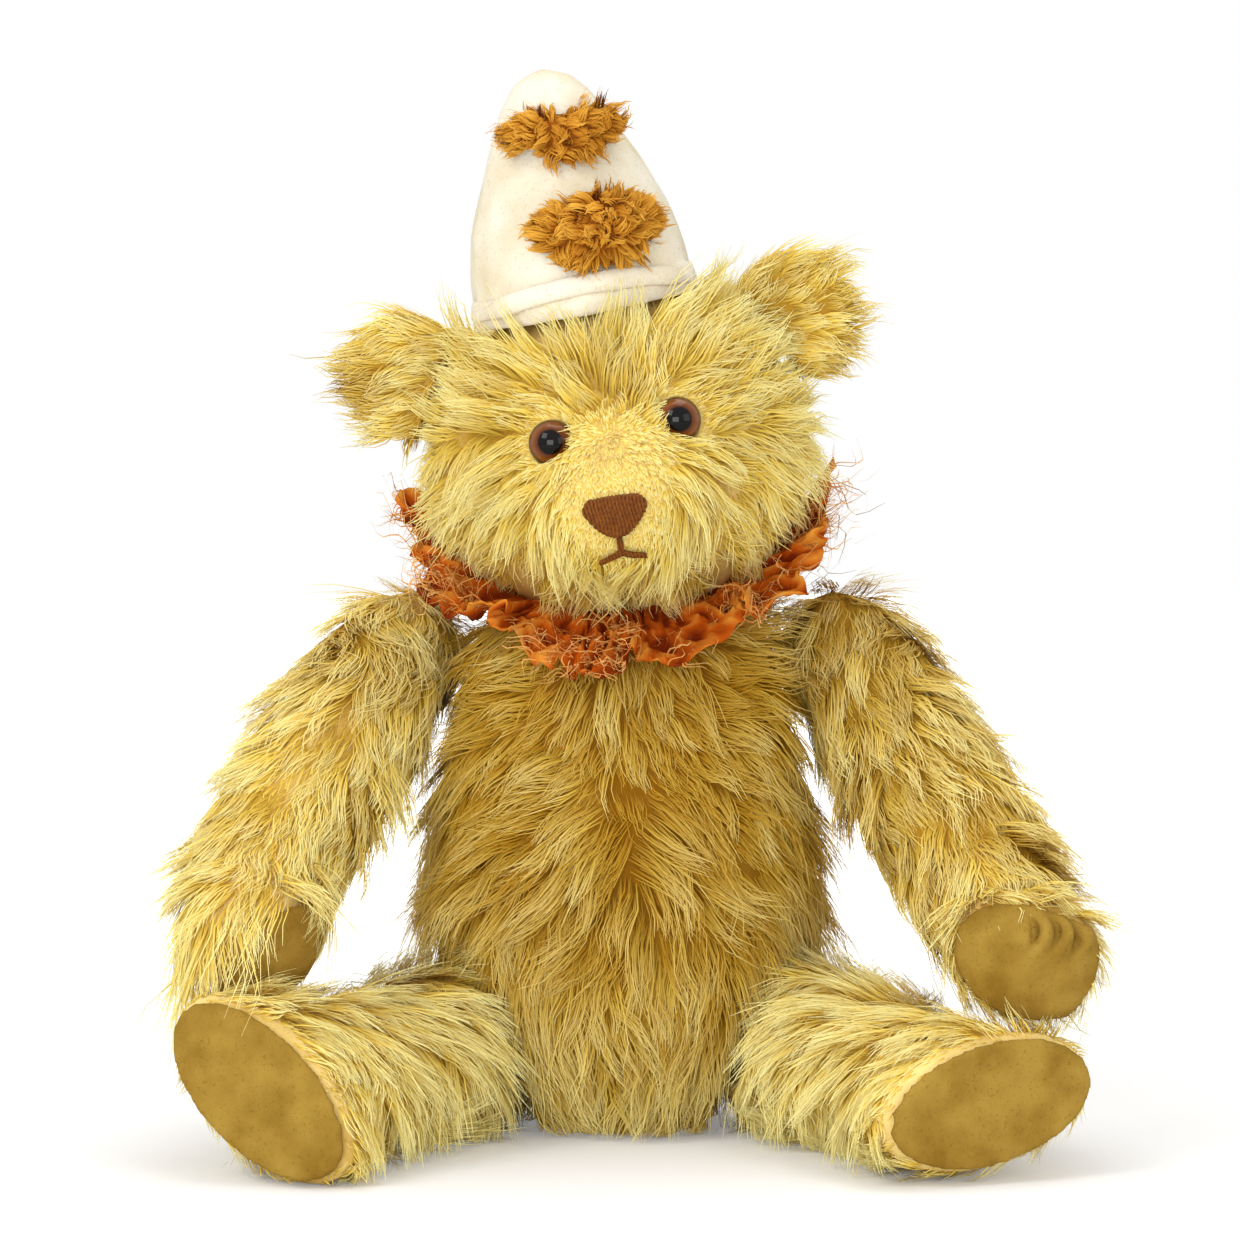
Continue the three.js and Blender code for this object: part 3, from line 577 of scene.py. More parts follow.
# Bands on the torso again: the thin chest, the pile that stands up behind the neck, and the worn front seam.
ARMPIT = (22 * MM, 44 * MM)
CHEST_HEIGHT, CHEST_FRONT, CHEST_OUT = (84 * MM, 112 * MM), (10 * MM, 30 * MM), (42 * MM, 26 * MM)
COLLAR_HEIGHT, COLLAR_BACK, COLLAR_OUT = (122 * MM, 142 * MM), (-6 * MM, 10 * MM), (44 * MM, 32 * MM)
COLLAR_WAY = np.array([0, -0.3, 1.6])
SEAM_WIDTH, SEAM_FOOT, SEAM_TOP = 2.2 * MM, (74 * MM, 84 * MM), (116 * MM, 106 * MM)
SHOULDER_BACK = (32 * MM, 42 * MM)
FAR = 30 * MM


def unclipped(points):
    """0 on the clipped muzzle and round the eyes, 1 on the rest of the head."""
    by_eyes = smooth_step(from_eyes(points), 7 * MM, 14 * MM)
    return np.minimum(smooth_step(from_muzzle(points), 11 * MM, 24 * MM), by_eyes)


def pile_length(node, points):
    x, y, z = points.T
    if node == "head":
        chin = smooth_step(NOSE[2] - z, 12 * MM, 24 * MM)
        return (SHORN_PILE + HEAD_PILE * unclipped(points) * (1 - 0.4 * chin)) * MM
    if node.startswith("ear"):
        rim = np.linalg.norm(points - centre_of(node), axis=1)
        return (EAR_PILE + EAR_PILE * smooth_step(rim, 12 * MM, 20 * MM)) * MM
    length = BODY_PILE + 3.0 * mottle(points, 20 * MM, 5)
    if node == "torso":
        for limb in ("arm_left", "arm_right"):
            length += 3 * fading(np.linalg.norm(points - JOINT[limb], axis=1), *ARMPIT)
        chest = smooth_step(z, *CHEST_HEIGHT) * smooth_step(-y, *CHEST_FRONT)
        return length * (1 - 0.35 * chest * below(np.abs(x), *CHEST_OUT)) * MM
    to_pad = distance_to([PAD_OF[node]], points)
    if node == "arm_right":
        length += CUFF_PILE * fading(to_pad, 5 * MM, 16 * MM)
    else:
        length *= 0.6 + 0.4 * smooth_step(to_pad, 3 * MM, 8 * MM)
    is_leg = node.startswith("leg")
    length *= 1 - (0.45 if is_leg else 0.05) * smooth_step(np.abs(x), 100 * MM, 130 * MM)
    if is_leg:
        length *= 1 - 0.45 * smooth_step(-y, 95 * MM, 132 * MM)
    return length * MM


def pile_thickness(node, points, normals, clear):
    """1 where the pile grows fully, 0 where it lies against a neighbour or was worn or shorn away."""
    thickness = smooth_step(clear, 2.5 * MM, 6 * MM)
    if node == "head":
        thickness = smooth_step(clear, 0.3 * MM, 1.5 * MM) * smooth_step(unclipped(points), 0.0, 0.2)
        thickness *= ~under_hat(points)
        thickness *= smooth_step(from_eyes(points), 7.3 * MM, 8.3 * MM)
        thickness *= smooth_step(distance_to(["nose", "mouth"], points), 0.8 * MM, 1.6 * MM)
    if node in PAD_OF:
        thickness *= smooth_step(distance_to([PAD_OF[node]], points), 1.8 * MM, 3.4 * MM)
    if node.startswith("ear"):
        thickness *= smooth_step(distance_to(["head"], points), 1.0 * MM, 3.0 * MM)
    backward, downward = normals[:, 1], -normals[:, 2]
    return thickness * (1 - 0.4 * smooth_step(backward, 0.1, 0.7) - 0.4 * smooth_step(downward, 0.6, 0.95))


def pile_tone(node, points):
    """How pale the pile is, by patches."""
    tone = TONE[node] + 0.25 * mottle(points, 26 * MM, 9)
    if node == "head":
        tone += 0.2 * (1 - unclipped(points))
    if node.startswith("arm"):
        tone += 0.4 * fading(distance_to([PAD_OF[node]], points), 8 * MM, 40 * MM)
    if node == "torso":
        tone += 0.35 * below(points[:, 2], 90 * MM, 20 * MM)
    return tone


def worn_back(node, x, normals):
    """1 where arms, ears and shoulders face up and back. Pile is worn there, and would show dark from the front."""
    if node == "head" or node.startswith("leg"):
        return np.zeros(len(x))
    facing = smooth_step(normals[:, 1], 0.15, 0.5) * smooth_step(normals[:, 2], 0.0, 0.3)
    return facing * smooth_step(np.abs(x), *SHOULDER_BACK) if node == "torso" else facing


def lay_pile(node):
    """Keeps the comb, length, thickness and tone of a skin's pile at its points."""
    mesh = skins[node].data
    points, normals = points_of(mesh), normals_of(mesh)
    x, y, z = points.T
    others = [other for other, body in BODY_OF.items() if body != BODY_OF[node]]
    clear = reach(points, normals, others + ["neck_ruff"], FAR)
    wear_and_shade = worn_back(node, x, normals)
    comb = along_surface(COMB[node](points), normals)
    length = pile_length(node, points) * (0.35 + 0.65 * smooth_step(clear, 4 * MM, 12 * MM)) * (1 - 0.75 * wear_and_shade)
    thickness = pile_thickness(node, points, normals, clear) * (1 - 0.5 * wear_and_shade)
    tone = pile_tone(node, points)
    if node == "head":
        by_hat = fading(distance_to(["hat"], points), 3 * MM, 17 * MM)
        comb = unit(comb + 1.1 * by_hat[:, None] * normals)
        length = length + 4 * MM * by_hat
    if node == "torso":
        collar = smooth_step(z, *COLLAR_HEIGHT) * smooth_step(y, *COLLAR_BACK)
        collar *= below(np.abs(x), *COLLAR_OUT)
        comb = unit(comb * (1 - 0.7 * collar)[:, None] + collar[:, None] * COLLAR_WAY)
        length = length + 3 * MM * collar
        seam = np.exp(-((x / SEAM_WIDTH) ** 2)) * (y < 0)
        seam *= smooth_step(z, *SEAM_FOOT) * below(z, *SEAM_TOP)
        tone, thickness = tone - 0.6 * seam, thickness * (1 - 0.6 * seam)
    for name, values in (("comb", comb), ("pile", length), ("thickness", thickness), ("tone", tone)):
        keep(mesh, name, values)


for node in skins:
    lay_pile(node)

# %% [markdown]
# ## The coat
#
# The pile is grown by one Geometry Nodes tree. Points are strewn over the skin, and so are fewer points for locks.
# Every strand looks up its nearest lock, takes its direction from it and leans towards it, which gives the combed,
# stuck-together look of old mohair. A strand is a narrow strip of a few faces, bent from the skin into the comb's
# direction. Each strip is rolled about its own length, so that its lit face shows from the side it is seen from.

# %% The strand tree


SWIRL_SCALE = 40
STRAND_STRAY = 0.12
ARCH = 0.55
CURL = 5.0
TAPER = 0.78
LEAST_ROLL = 0.3
MOST_ROLL = 1.3
FLOOR_GAP = 0.3 * MM
FLOOR_SPREAD = 1.2 * MM


def strand_tree():
    amounts = ("Strands", "Locks", "Width", "Rise", "Wave", "Pull", "Stray", "Swirl")
    sizes = {**dict.fromkeys(amounts, "Float"), "Seed": "Int", "Steps": "Int", "Material": "Material"}
    tree, into, out = geometry_tree("mohair_pile", sizes)
    given = into.outputs

    def num(operation, *values):
        return calc(tree, operation, *values)

    def times(first, second):
        return num("MULTIPLY", first, second)

    def line(value, slope, start):
        return num("MULTIPLY_ADD", value, slope, start)

    def scaled(vector, amount):
        return vec(tree, "SCALE", vector, amount)

    def normal(vector):
        return vec(tree, "NORMALIZE", vector)

    def total(vector, *others):
        for other in others:
            vector = vec(tree, "ADD", vector, other)
        return vector

    def parts(vector):
        return put(tree, "ShaderNodeSeparateXYZ", {0: vector}).outputs

    def named(name, kind="FLOAT"):
        return put(tree, "GeometryNodeInputNamedAttribute", {"Name": name}, data_type=kind).outputs[0]

    def chance(low, salt):
        """A random vector for each point, with parts between low and 1."""
        inputs = {0: (low,) * 3, 1: (1.0,) * 3, "Seed": num("ADD", given["Seed"], salt)}
        return put(tree, "FunctionNodeRandomValue", inputs, data_type="FLOAT_VECTOR").outputs[0]

    def strewn(amount, salt):
        density, seed = times(amount, named("thickness")), num("ADD", given["Seed"], salt)
        inputs = {"Mesh": given["Geometry"], "Density": density, "Seed": seed}
        return put(tree, "GeometryNodeDistributePointsOnFaces", inputs)

    def kept(geometry, vectors, numbers):
        """Values caught on a geometry's points, for use after the strips are laid."""
        node = put(tree, "GeometryNodeCaptureAttribute", {"Geometry": geometry})
        for kind, values in (("VECTOR", vectors), ("FLOAT", numbers)):
            for name, value in values.items():
                node.capture_items.new(kind, name)
                tree.links.new(value, node.inputs[name])
        return node

    # The locks: where each one is and which way it runs.
    here = put(tree, "GeometryNodeInputPosition").outputs[0]
    swirl = put(tree, "ShaderNodeTexNoise", {"Vector": here, "Scale": SWIRL_SCALE, "Detail": 1}).outputs["Color"]
    swirl = scaled(vec(tree, "SUBTRACT", swirl, (0.5, 0.5, 0.5)), given["Swirl"])
    stray = scaled(chance(-1.0, 11), given["Stray"])
    bearing = normal(total(named("comb", "FLOAT_VECTOR"), swirl, stray))
    lock_points = strewn(given["Locks"], 1).outputs["Points"]
    locks = kept(lock_points, {"place": here, "bearing": bearing, "mood": chance(0.0, 12)}, {})

    # The strands: each takes after its nearest lock.
    points = strewn(given["Strands"], 2)
    nearest = put(tree, "GeometryNodeSampleNearest", {"Geometry": locks, "Sample Position": here})

    def of_lock(name):
        inputs = {"Geometry": locks, "Value": locks.outputs[name], "Index": nearest}
        return put(tree, "GeometryNodeSampleIndex", inputs, data_type="FLOAT_VECTOR").outputs[0]

    own_stray = scaled(chance(-1.0, 13), STRAND_STRAY)
    strands = kept(
        points.outputs["Points"],
        {
            "root": here,
            "up": points.outputs["Normal"],
            "heading": normal(total(of_lock("bearing"), own_stray)),
            "to_lock": vec(tree, "SUBTRACT", of_lock("place"), here),
            "mood": of_lock("mood"),
            "luck": chance(0.0, 14),
        },
        {"pile": named("pile"), "tone": named("tone")},
    )
    rows = num("ADD", given["Steps"], 1)
    strip = put(tree, "GeometryNodeMeshGrid", {"Size X": 2.0, "Size Y": 2.0, "Vertices X": 2, "Vertices Y": rows})
    strip_xyz = parts(here)
    strip = kept(strip, {}, {"across": strip_xyz[0], "along": line(strip_xyz[1], 0.5, 0.5)})
    laid = put(tree, "GeometryNodeInstanceOnPoints", {"Points": strands, "Instance": strip})
    real = put(tree, "GeometryNodeRealizeInstances", {"Geometry": laid})

    # The strip's middle line: out along the heading, up and over, waving and leaning to its lock.
    root, up, heading = (strands.outputs[name] for name in ("root", "up", "heading"))
    across, along = strip.outputs["across"], strip.outputs["along"]
    mood, luck = parts(strands.outputs["mood"]), parts(strands.outputs["luck"])
    few_long = line(num("POWER", luck[0], 12), 0.5, times(luck[0], 0.4))
    length = times(strands.outputs["pile"], num("ADD", line(mood[0], 0.45, 0.55), few_long))
    squared = times(along, along)
    side = normal(vec(tree, "CROSS_PRODUCT", heading, up))
    forward = scaled(heading, times(along, length))
    stand = times(given["Rise"], line(mood[1], 0.9, 0.5))
    lifted = scaled(up, times(line(squared, -ARCH, along), times(stand, length)))
    swing = times(num("SINE", line(mood[2], 6.28, times(along, CURL))), times(along, length))
    waved = scaled(side, times(swing, given["Wave"]))
    leaning = scaled(strands.outputs["to_lock"], times(squared, given["Pull"]))

    # The roll: at least so far that the strip's face turns to the front, or to the back on the bear's back.
    side_y, up_xyz = parts(side)[1], parts(up)
    backward = line(num("MAXIMUM", up_xyz[2], 0.0), -0.35, up_xyz[1])
    behind = line(num("GREATER_THAN", backward, 0.5), -2.0, 1.0)
    own_face = total(up, scaled(heading, times(stand, -0.45)))
    tipped = num("ARCTAN2", parts(own_face)[1], num("ABSOLUTE", side_y))
    least = num("MINIMUM", line(tipped, behind, LEAST_ROLL), MOST_ROLL)
    hand = times(num("SIGN", side_y), behind)
    roll = times(num("MAXIMUM", line(luck[1], 1.25, -0.1), least), hand)
    flat, edge_on = num("COSINE", roll), num("SINE", roll)

    # The strip's two edges, kept above the floor.
    half = times(times(across, 0.5), times(given["Width"], line(squared, -TAPER, 1)))
    flank = total(scaled(side, times(flat, half)), scaled(up, times(edge_on, half)))
    x, y, z = parts(total(root, forward, lifted, waved, leaning, flank))
    above = num("MAXIMUM", z, line(luck[2], FLOOR_SPREAD, FLOOR_GAP))
    place = put(tree, "ShaderNodeCombineXYZ", {0: x, 1: y, 2: above})
    bent = put(tree, "GeometryNodeSetPosition", {"Geometry": real, "Position": place})

    # Its map, its shading and its material.
    of_luck = num("ADD", line(mood[0], 0.6, -0.3), line(luck[0], 0.4, -0.2))
    tint = num("ADD", strands.outputs["tone"], of_luck)
    tint = put(tree, "ShaderNodeClamp", {"Value": tint, "Min": 0.02, "Max": 0.98}).outputs[0]
    chart = put(tree, "ShaderNodeCombineXYZ", {0: line(across, 0.006, tint), 1: line(along, 0.98, 0.01)})
    named_map = {"Geometry": bent, "Name": STRAND_MAP}
    charted = put(tree, "GeometryNodeStoreNamedAttribute", named_map, data_type="FLOAT2", domain="CORNER")
    tree.links.new(chart.outputs[0], charted.inputs["Value"])
    shaded = put(tree, "GeometryNodeSetShadeSmooth", {"Geometry": charted})
    facing = total(scaled(side, times(edge_on, -1.0)), scaled(up, num("ADD", flat, 0.7)))
    turned = put(tree, "GeometryNodeSetMeshNormal", {"Mesh": shaded, "Custom Normal": facing}, mode="FREE")
    dyed = put(tree, "GeometryNodeSetMaterial", {"Geometry": turned, "Material": given["Material"]})
    tree.links.new(dyed.outputs[0], out.inputs[0])
    return tree


PILE = strand_tree()

# %% Grow the coat

COAT = {
    "Locks": 36000.0, "Width": 0.44 * MM, "Rise": 0.5, "Wave": 0.11, "Pull": 0.5,
    "Stray": 0.22, "Swirl": 2.0, "Steps": 3, "Material": MOHAIR,
}
STRANDS = {"torso": 720000.0, "head": 960000.0, "ear_left": 1500000.0, "ear_right": 1500000.0}
coats = {}
for number, node in enumerate(skins):
    sizes = {**COAT, "Strands": STRANDS.get(node, 800000.0), "Seed": 3 + 20 * number}
    coats[node] = grown(node + "_fur", skins[node].data, PILE, sizes)
print("strand faces in all:", sum(len(coat.data.polygons) for coat in coats.values()))

# %% The clipped muzzle


def clipped_pile():
    """The short pile that the shears left on the muzzle and round the eyes."""
    mesh = skins["head"].data.copy()
    points, normals = points_of(mesh), normals_of(mesh)
    thickness = fading(unclipped(points), 0.1, 0.45)
    thickness *= smooth_step(from_eyes(points), 7.0 * MM, 7.6 * MM)
    thickness *= smooth_step(distance_to(["nose", "mouth"], points), 0.4 * MM, 0.8 * MM)
    for name, values in (
        ("pile", (1.7 + 3.5 * unclipped(points)) * MM),
        ("thickness", thickness),
        ("tone", 1.05 + 0.12 * mottle(points, 9 * MM, 6)),
    ):
        mesh.attributes.remove(mesh.attributes[name])
        keep(mesh, name, values)
    sizes = {
        **COAT, "Strands": 3000000.0, "Locks": 250000.0, "Rise": 0.6, "Wave": 0.05, "Pull": 0.2, "Stray": 0.4,
        "Swirl": 0.8, "Steps": 2, "Seed": 211,
    }
    return grown("muzzle_fur", mesh, PILE, sizes)


muzzle_fur = clipped_pile()
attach(muzzle_fur, "head")

for node, body in BODY_OF.items():
    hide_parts(node)
    for piece in (skins[node], coats[node]):
        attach(piece, body)

# %% [markdown]
# ## Felt: the hat and the pads
#
# Felt has no weave. It is a mat of fibres with a soft bloom, mottled colour and rounded cut edges. The pads are their
# solids remeshed finely and the hat is its solid divided, so that sharp edges go soft. Both are dented a little by
# use. One node group gives the fibres of all the felts, and each material takes its own colours from it.

# %% Felt materials


def fibre_group():
    """Fine fibres as a height, and soft stains and specks as masks."""
    group = bpy.data.node_groups.new("felt_fibres", "ShaderNodeTree")
    for label in ("Fibre size", "Stain size"):
        group.interface.new_socket(label, in_out="INPUT", socket_type="NodeSocketFloat")
    for label in ("Fibres", "Stains", "Specks"):
        group.interface.new_socket(label, in_out="OUTPUT", socket_type="NodeSocketFloat")
    into, out = group.nodes.new("NodeGroupInput"), group.nodes.new("NodeGroupOutput")
    fine = grain(group, into.outputs[0], 3, Distortion=1.5)
    broad = grain(group, into.outputs[1], 4)
    spots = put(group, "ShaderNodeMapRange", {0: grain(group, into.outputs[0], 1), 1: 0.62, 2: 0.7})
    for socket, value in zip(out.inputs, (fine, broad, spots)):
        feed(group, socket, value)
    return group


FIBRES = fibre_group()
FIBRE_SIZE = 1100.0


def felt_material(name, low, high, speck, stain_size):
    made, tree, shader = material(name, 0.95, 0.12)
    inputs = {"Fibre size": FIBRE_SIZE, "Stain size": stain_size}
    fibres = put(tree, "ShaderNodeGroup", inputs, node_tree=FIBRES).outputs
    colour = ramp(tree, fibres["Stains"], [(0.32, low), (0.62, high)])
    specks = calc(tree, "MULTIPLY", fibres["Specks"], 0.35)
    # The tuck valleys darken the felt as painted shade. The specks are the felt's own.
    dark = calc(tree, "MULTIPLY_ADD", stored(tree, "fold_shade"), 0.8, specks)
    tree.links.new(mix(tree, dark, colour, speck), shader.inputs["Base Color"])
    roughen(tree, shader, fibres["Fibres"], 0.5, 0.5 * MM)
    return made


HAT_FELT = felt_material("cream_felt", srgb(230, 215, 180), srgb(246, 238, 218), srgb(208, 180, 128), 45.0)
PAD_FELT = felt_material("tan_felt", srgb(140, 106, 34), srgb(172, 138, 58), srgb(108, 76, 20), 70.0)

# %% Hat and pads


def felted(node, voxel, passes, dents, made, ending="_felt"):
    """A softened copy of a solid in its place, dented a little."""
    piece = softened(node, voxel, passes)
    mesh = piece.data
    points, normals = points_of(mesh), normals_of(mesh)
    move_points(mesh, points + normals * (dents * mottle(points, 14 * MM, 2))[:, None])
    piece.name = mesh.name = node + ending
    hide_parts(node)
    print(piece.name, "faces:", len(mesh.polygons))
    return finished(piece, made)


hat = felted("hat", None, 3, 0.5 * MM, HAT_FELT)
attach(hat, "head")
TUCKS = {"paw_pad_left": [(2 * MM, 9.5 * MM), (8.5 * MM, 9 * MM), (14.5 * MM, 7 * MM)]}


def tucked(piece, pad):
    """Short tucks where the felt was gathered to fit, as valleys with a swell between them. The valleys also darken
    the felt's colour, as painted shade.
    """
    points, normals = points_of(piece.data), normals_of(piece.data)
    x, _, z = (points - centre_of(pad)).T
    fold_shade = np.zeros(len(points))
    for across, high in TUCKS.get(pad, []):
        bowed = x - across + ((z - high) / (3.2 * MM)) ** 2 * MM
        valley = np.exp(-((bowed / (1.2 * MM)) ** 2) - ((z - high) / (4 * MM)) ** 2)
        swell = np.exp(-(((bowed - 3 * MM) / (1.8 * MM)) ** 2) - ((z - high) / (4 * MM)) ** 2)
        points = points + normals * ((1.5 * swell - 2.2 * valley) * MM)[:, None]
        fold_shade = np.maximum(fold_shade, valley)
    move_points(piece.data, points)
    keep(piece.data, "fold_shade", fold_shade)


for limb, pad in PAD_OF.items():
    piece = felted(pad, 1.1 * MM, 3, 0.3 * MM, PAD_FELT)
    tucked(piece, pad)
    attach(piece, limb)

# %% The turned-up hem

HEM_TALL = 6.5 * MM
HEM_THICK = 3.2 * MM
HEM_LIFT = 9 * MM
HEM_STEPS = 90
HEM_SIDES = 14
HEM_REACH = 80  # degrees to each side of the front
HEM_EVENINGS = 14


def hem_line():
    """A line round the hat's front just above its edge, the way outwards from it and the way up the hat."""
    points = points_of(hat.data)
    tip = points[np.argmax(points[:, 2])]
    up = unit(tip - HEAD)
    right = unit(np.array([1.0, 0, 0]) - up * up[0])
    ahead = np.cross(right, up)
    away = points - tip
    height = away @ up
    bearing = np.arctan2(away @ right, away @ ahead)
    from_axis = np.linalg.norm(away - np.outer(height, up), axis=1)
    stops = np.radians(np.linspace(-HEM_REACH, HEM_REACH, HEM_STEPS))
    rows = []
    for stop in stops:
        near = np.abs(bearing - stop) < math.radians(8)
        edge = np.sort(height[near])[:6].mean() + HEM_LIFT * (0.6 + 0.4 * math.cos(1.3 * stop))
        band = near & (np.abs(height - edge) < 3 * MM)
        rows.append((edge, np.sort(from_axis[band])[-6:].mean()))
    rows = np.array(rows)
    for _ in range(HEM_EVENINGS):
        rows[1:-1] = (rows[:-2] + 2 * rows[1:-1] + rows[2:]) / 4
    outward = np.sin(stops)[:, None] * right + np.cos(stops)[:, None] * ahead
    return tip + np.outer(rows[:, 0], up) + outward * rows[:, 1:], outward, up


def turned_hem():
    line, outward, up = hem_line()
    share = np.linspace(-1, 1, HEM_STEPS)
    swell = fading(np.abs(share), 0.6, 1.0) * (1 + 0.25 * mottle(line, 8 * MM, 12))
    swell = swell[:, None, None]
    turn = np.linspace(0, 2 * math.pi, HEM_SIDES, endpoint=False)[None, :, None]
    rows = (
        line[:, None]
        + up * (0.5 * HEM_TALL * np.sin(turn) * (0.5 + 0.5 * swell))
        + outward[:, None] * (HEM_THICK * (0.5 * swell - 0.35 + 0.5 * np.cos(turn) * (0.3 + 0.7 * swell)))
    )
    index = np.arange(HEM_STEPS * HEM_SIDES).reshape(HEM_STEPS, HEM_SIDES)
    after = np.roll(index, -1, axis=1)
    faces = np.stack([index[:-1], index[1:], after[1:], after[:-1]], -1).reshape(-1, 4).tolist()
    faces += [index[0, ::-1].tolist(), index[-1].tolist()]
    mesh = bpy.data.meshes.new("hat_hem")
    mesh.from_pydata(rows.reshape(-1, 3).tolist(), [], faces)
    return finished(new_piece("hat_hem", mesh), HAT_FELT)


hem = turned_hem()
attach(hem, "head")

# %% [markdown]
# ## The wool pompoms
#
# Each pompom is a bunch of cut wool ends, sewn through the hat. The strand tree grows them too: thicker strands,
# bunched hard, that stand up from a small core and curl over at their ends.

# %% Wool


def strand_material(name, roots, tips):
    """A thread's colour: roots and tips for the darkest and the palest strands."""
    made, tree, shader = material(name, 0.8, 0.12)
    tone, along = strand_chart(tree)
    dark, light = (ramp(tree, along, [(0, root), (1, tip)]) for root, tip in zip(roots, tips))
    tree.links.new(mix(tree, tone, dark, light), shader.inputs["Base Color"])
    return made


# The wool's darker roots are painted shade deep in the pompom, and its paler tips painted highlight.
WOOL = strand_material(
    "orange_wool", (srgb(134, 68, 2), srgb(200, 122, 14)), (srgb(204, 126, 18), srgb(250, 194, 78))
)
WOOL_LENGTH = 2.9 * MM
WOOL_CORE_DEPTH = 2.6  # in millimetres under the solid's surface
# The core's dark felt is painted shade between the wool's roots.
WOOL_CORE_SHADE = felt_material("wool_core_shade", srgb(96, 48, 8), srgb(150, 84, 20), srgb(70, 30, 4), 160.0)


def pompom(name, seed):
    node = "hat_pompom_" + name
    core = felted(node, 1.3 * MM, 4, 0.4 * MM, WOOL_CORE_SHADE)
    mesh = core.data
    points, normals = points_of(mesh), normals_of(mesh)
    move_points(mesh, points - normals * WOOL_CORE_DEPTH * MM)
    keep(mesh, "comb", along_surface(points - points.mean(axis=0), normals))
    keep(mesh, "pile", np.full(len(points), WOOL_LENGTH))
    keep(mesh, "thickness", smooth_step(distance_to(["hat"], points), 0.5 * MM, 1.5 * MM))
    keep(mesh, "tone", 0.5 + 0.25 * mottle(points, 6 * MM, 3))
    sizes = {
        "Strands": 2400000.0, "Locks": 130000.0, "Width": 0.6 * MM, "Rise": 1.6, "Wave": 0.2, "Pull": 0.7,
        "Stray": 0.9, "Swirl": 0.9, "Seed": seed, "Steps": 3, "Material": WOOL,
    }
    for piece in (core, grown(node + "_wool", mesh, PILE, sizes)):
        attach(piece, "head")


pompom("lower", 301)
pompom("upper", 302)

# %% [markdown]
# ## The ruff
#
# The ruff is a long strip of orange cotton gathered along one edge. Its cut edge was never hemmed, so it has frayed.
# The strip is built as a grid: one way runs round the neck, the other from the gathered edge out to the cut one.
# The pleats grow towards the cut edge and no two are alike. The loose threads are strands again.

# %% Ruff cloth

RUFF_ROUND = 640
RUFF_ACROSS = 16
RUFF_INNER = 31 * MM
RUFF_OUTER = 64 * MM
RUFF_CLOTH = 0.45 * MM
RUFF_PLEATS = 11
RUFF_TUCKS = 27
FRAY_FROM = 0.6  # as a share of the way to the cut edge


def neck_frame():
    """The neck joint's place, and the ways to the right, back and up from it."""
    joint = next(joint for joint in frame["joints"] if joint["child"] == "head")
    up = unit(np.array(joint["axis"]))
    right = unit(np.array([1.0, 0, 0]) - up * up[0])
    return np.array(joint["pos_m"]), right, np.cross(up, right), up


def creases(a, s, round_scale, across_scale, salt):
    """Noise over the strip: a runs round the neck and s from the gathers to the cut edge."""
    spots = zip(np.cos(a).ravel(), np.sin(a).ravel(), s.ravel())
    rows = [noise.noise(Vector((round_scale * x, round_scale * y, across_scale * z + salt))) for x, y, z in spots]
    return np.array(rows).reshape(a.shape)


def ruff_cloth():
    origin, right, back, up = neck_frame()
    angle = np.linspace(0, 2 * math.pi, RUFF_ROUND, endpoint=False)
    share = np.linspace(0, 1, RUFF_ACROSS)
    a, s = np.meshgrid(angle, share, indexing="ij")
    sideways = np.cos(a) ** 2
    front = smooth_step(-np.sin(a), 0.2, 0.9)
    broad = RUFF_PLEATS * a + 0.8 * np.sin(2 * a)
    narrow = RUFF_TUCKS * a + 1.5 * np.sin(3 * a)
    pleats = np.sin(broad + 0.6 * np.sin(5 * a + 1))
    tucks = np.sin(narrow) + 0.6 * np.sin(43 * a + 2 * np.sin(4 * a + 2))
    crumple = smooth_step(np.sin(7 * a + 1.2) + 0.6 * np.sin(3 * a), -0.5, 0.5)
    ruck = creases(a, s, 9, 2.5, 0)
    crease = 0.35 - np.abs(creases(a, s, 17, 3.5, 5)) - 0.6 * np.abs(creases(a, s, 34, 6, 9))
    depth = (4.6 * np.sign(pleats) * np.abs(pleats) ** 0.7 + 1.7 * tucks + 6 * ruck * crumple) * s**0.8
    depth = depth + (4 + 6 * crumple) * crease * s**0.6
    lean = (0.12 * np.cos(broad) + 0.045 * np.cos(narrow) + 0.1 * ruck * crumple) * s
    behind = smooth_step(np.sin(a), 0.1, 0.8)
    rise = (4 - 7 * front - 6 * behind + 17 * sideways**1.4) * s**1.2
    edge = 1 + 0.035 * np.sin(17 * a + 1) + 0.025 * np.sin(38 * a)
    radius = RUFF_INNER + (RUFF_OUTER * edge - RUFF_INNER) * s
    radius = radius * (1 - 0.04 * front * s) + 5 * MM * creases(a, s, 21, 4, 15) * s
    height = (4 + 2.5 * front + rise + depth) * MM
    turn = a + lean
    rows = (
        origin
        + radius[..., None] * (np.cos(turn)[..., None] * right + np.sin(turn)[..., None] * back)
        + height[..., None] * up
    )
    index = np.arange(RUFF_ROUND * RUFF_ACROSS).reshape(RUFF_ROUND, RUFF_ACROSS)
    after = np.roll(index, -1, axis=0)
    faces = np.stack([index[:, :-1], index[:, 1:], after[:, 1:], after[:, :-1]], -1).reshape(-1, 4)
    mesh = bpy.data.meshes.new("neck_ruff_cloth")
    mesh.from_pydata(rows.reshape(-1, 3).tolist(), [], faces.tolist())
    keep(mesh, "share", s.ravel())
    keep(mesh, "crumple", crumple.ravel())
    # The crease value, high on the fold ridges and low in the valleys, lightens and darkens the cotton as painted
    # highlight and painted shade.
    keep(mesh, "crease", np.clip(0.5 + 1.4 * crease + 0.06 * tucks, 0, 1).ravel())
    return finished(new_piece("neck_ruff_cloth", mesh), cotton_material())


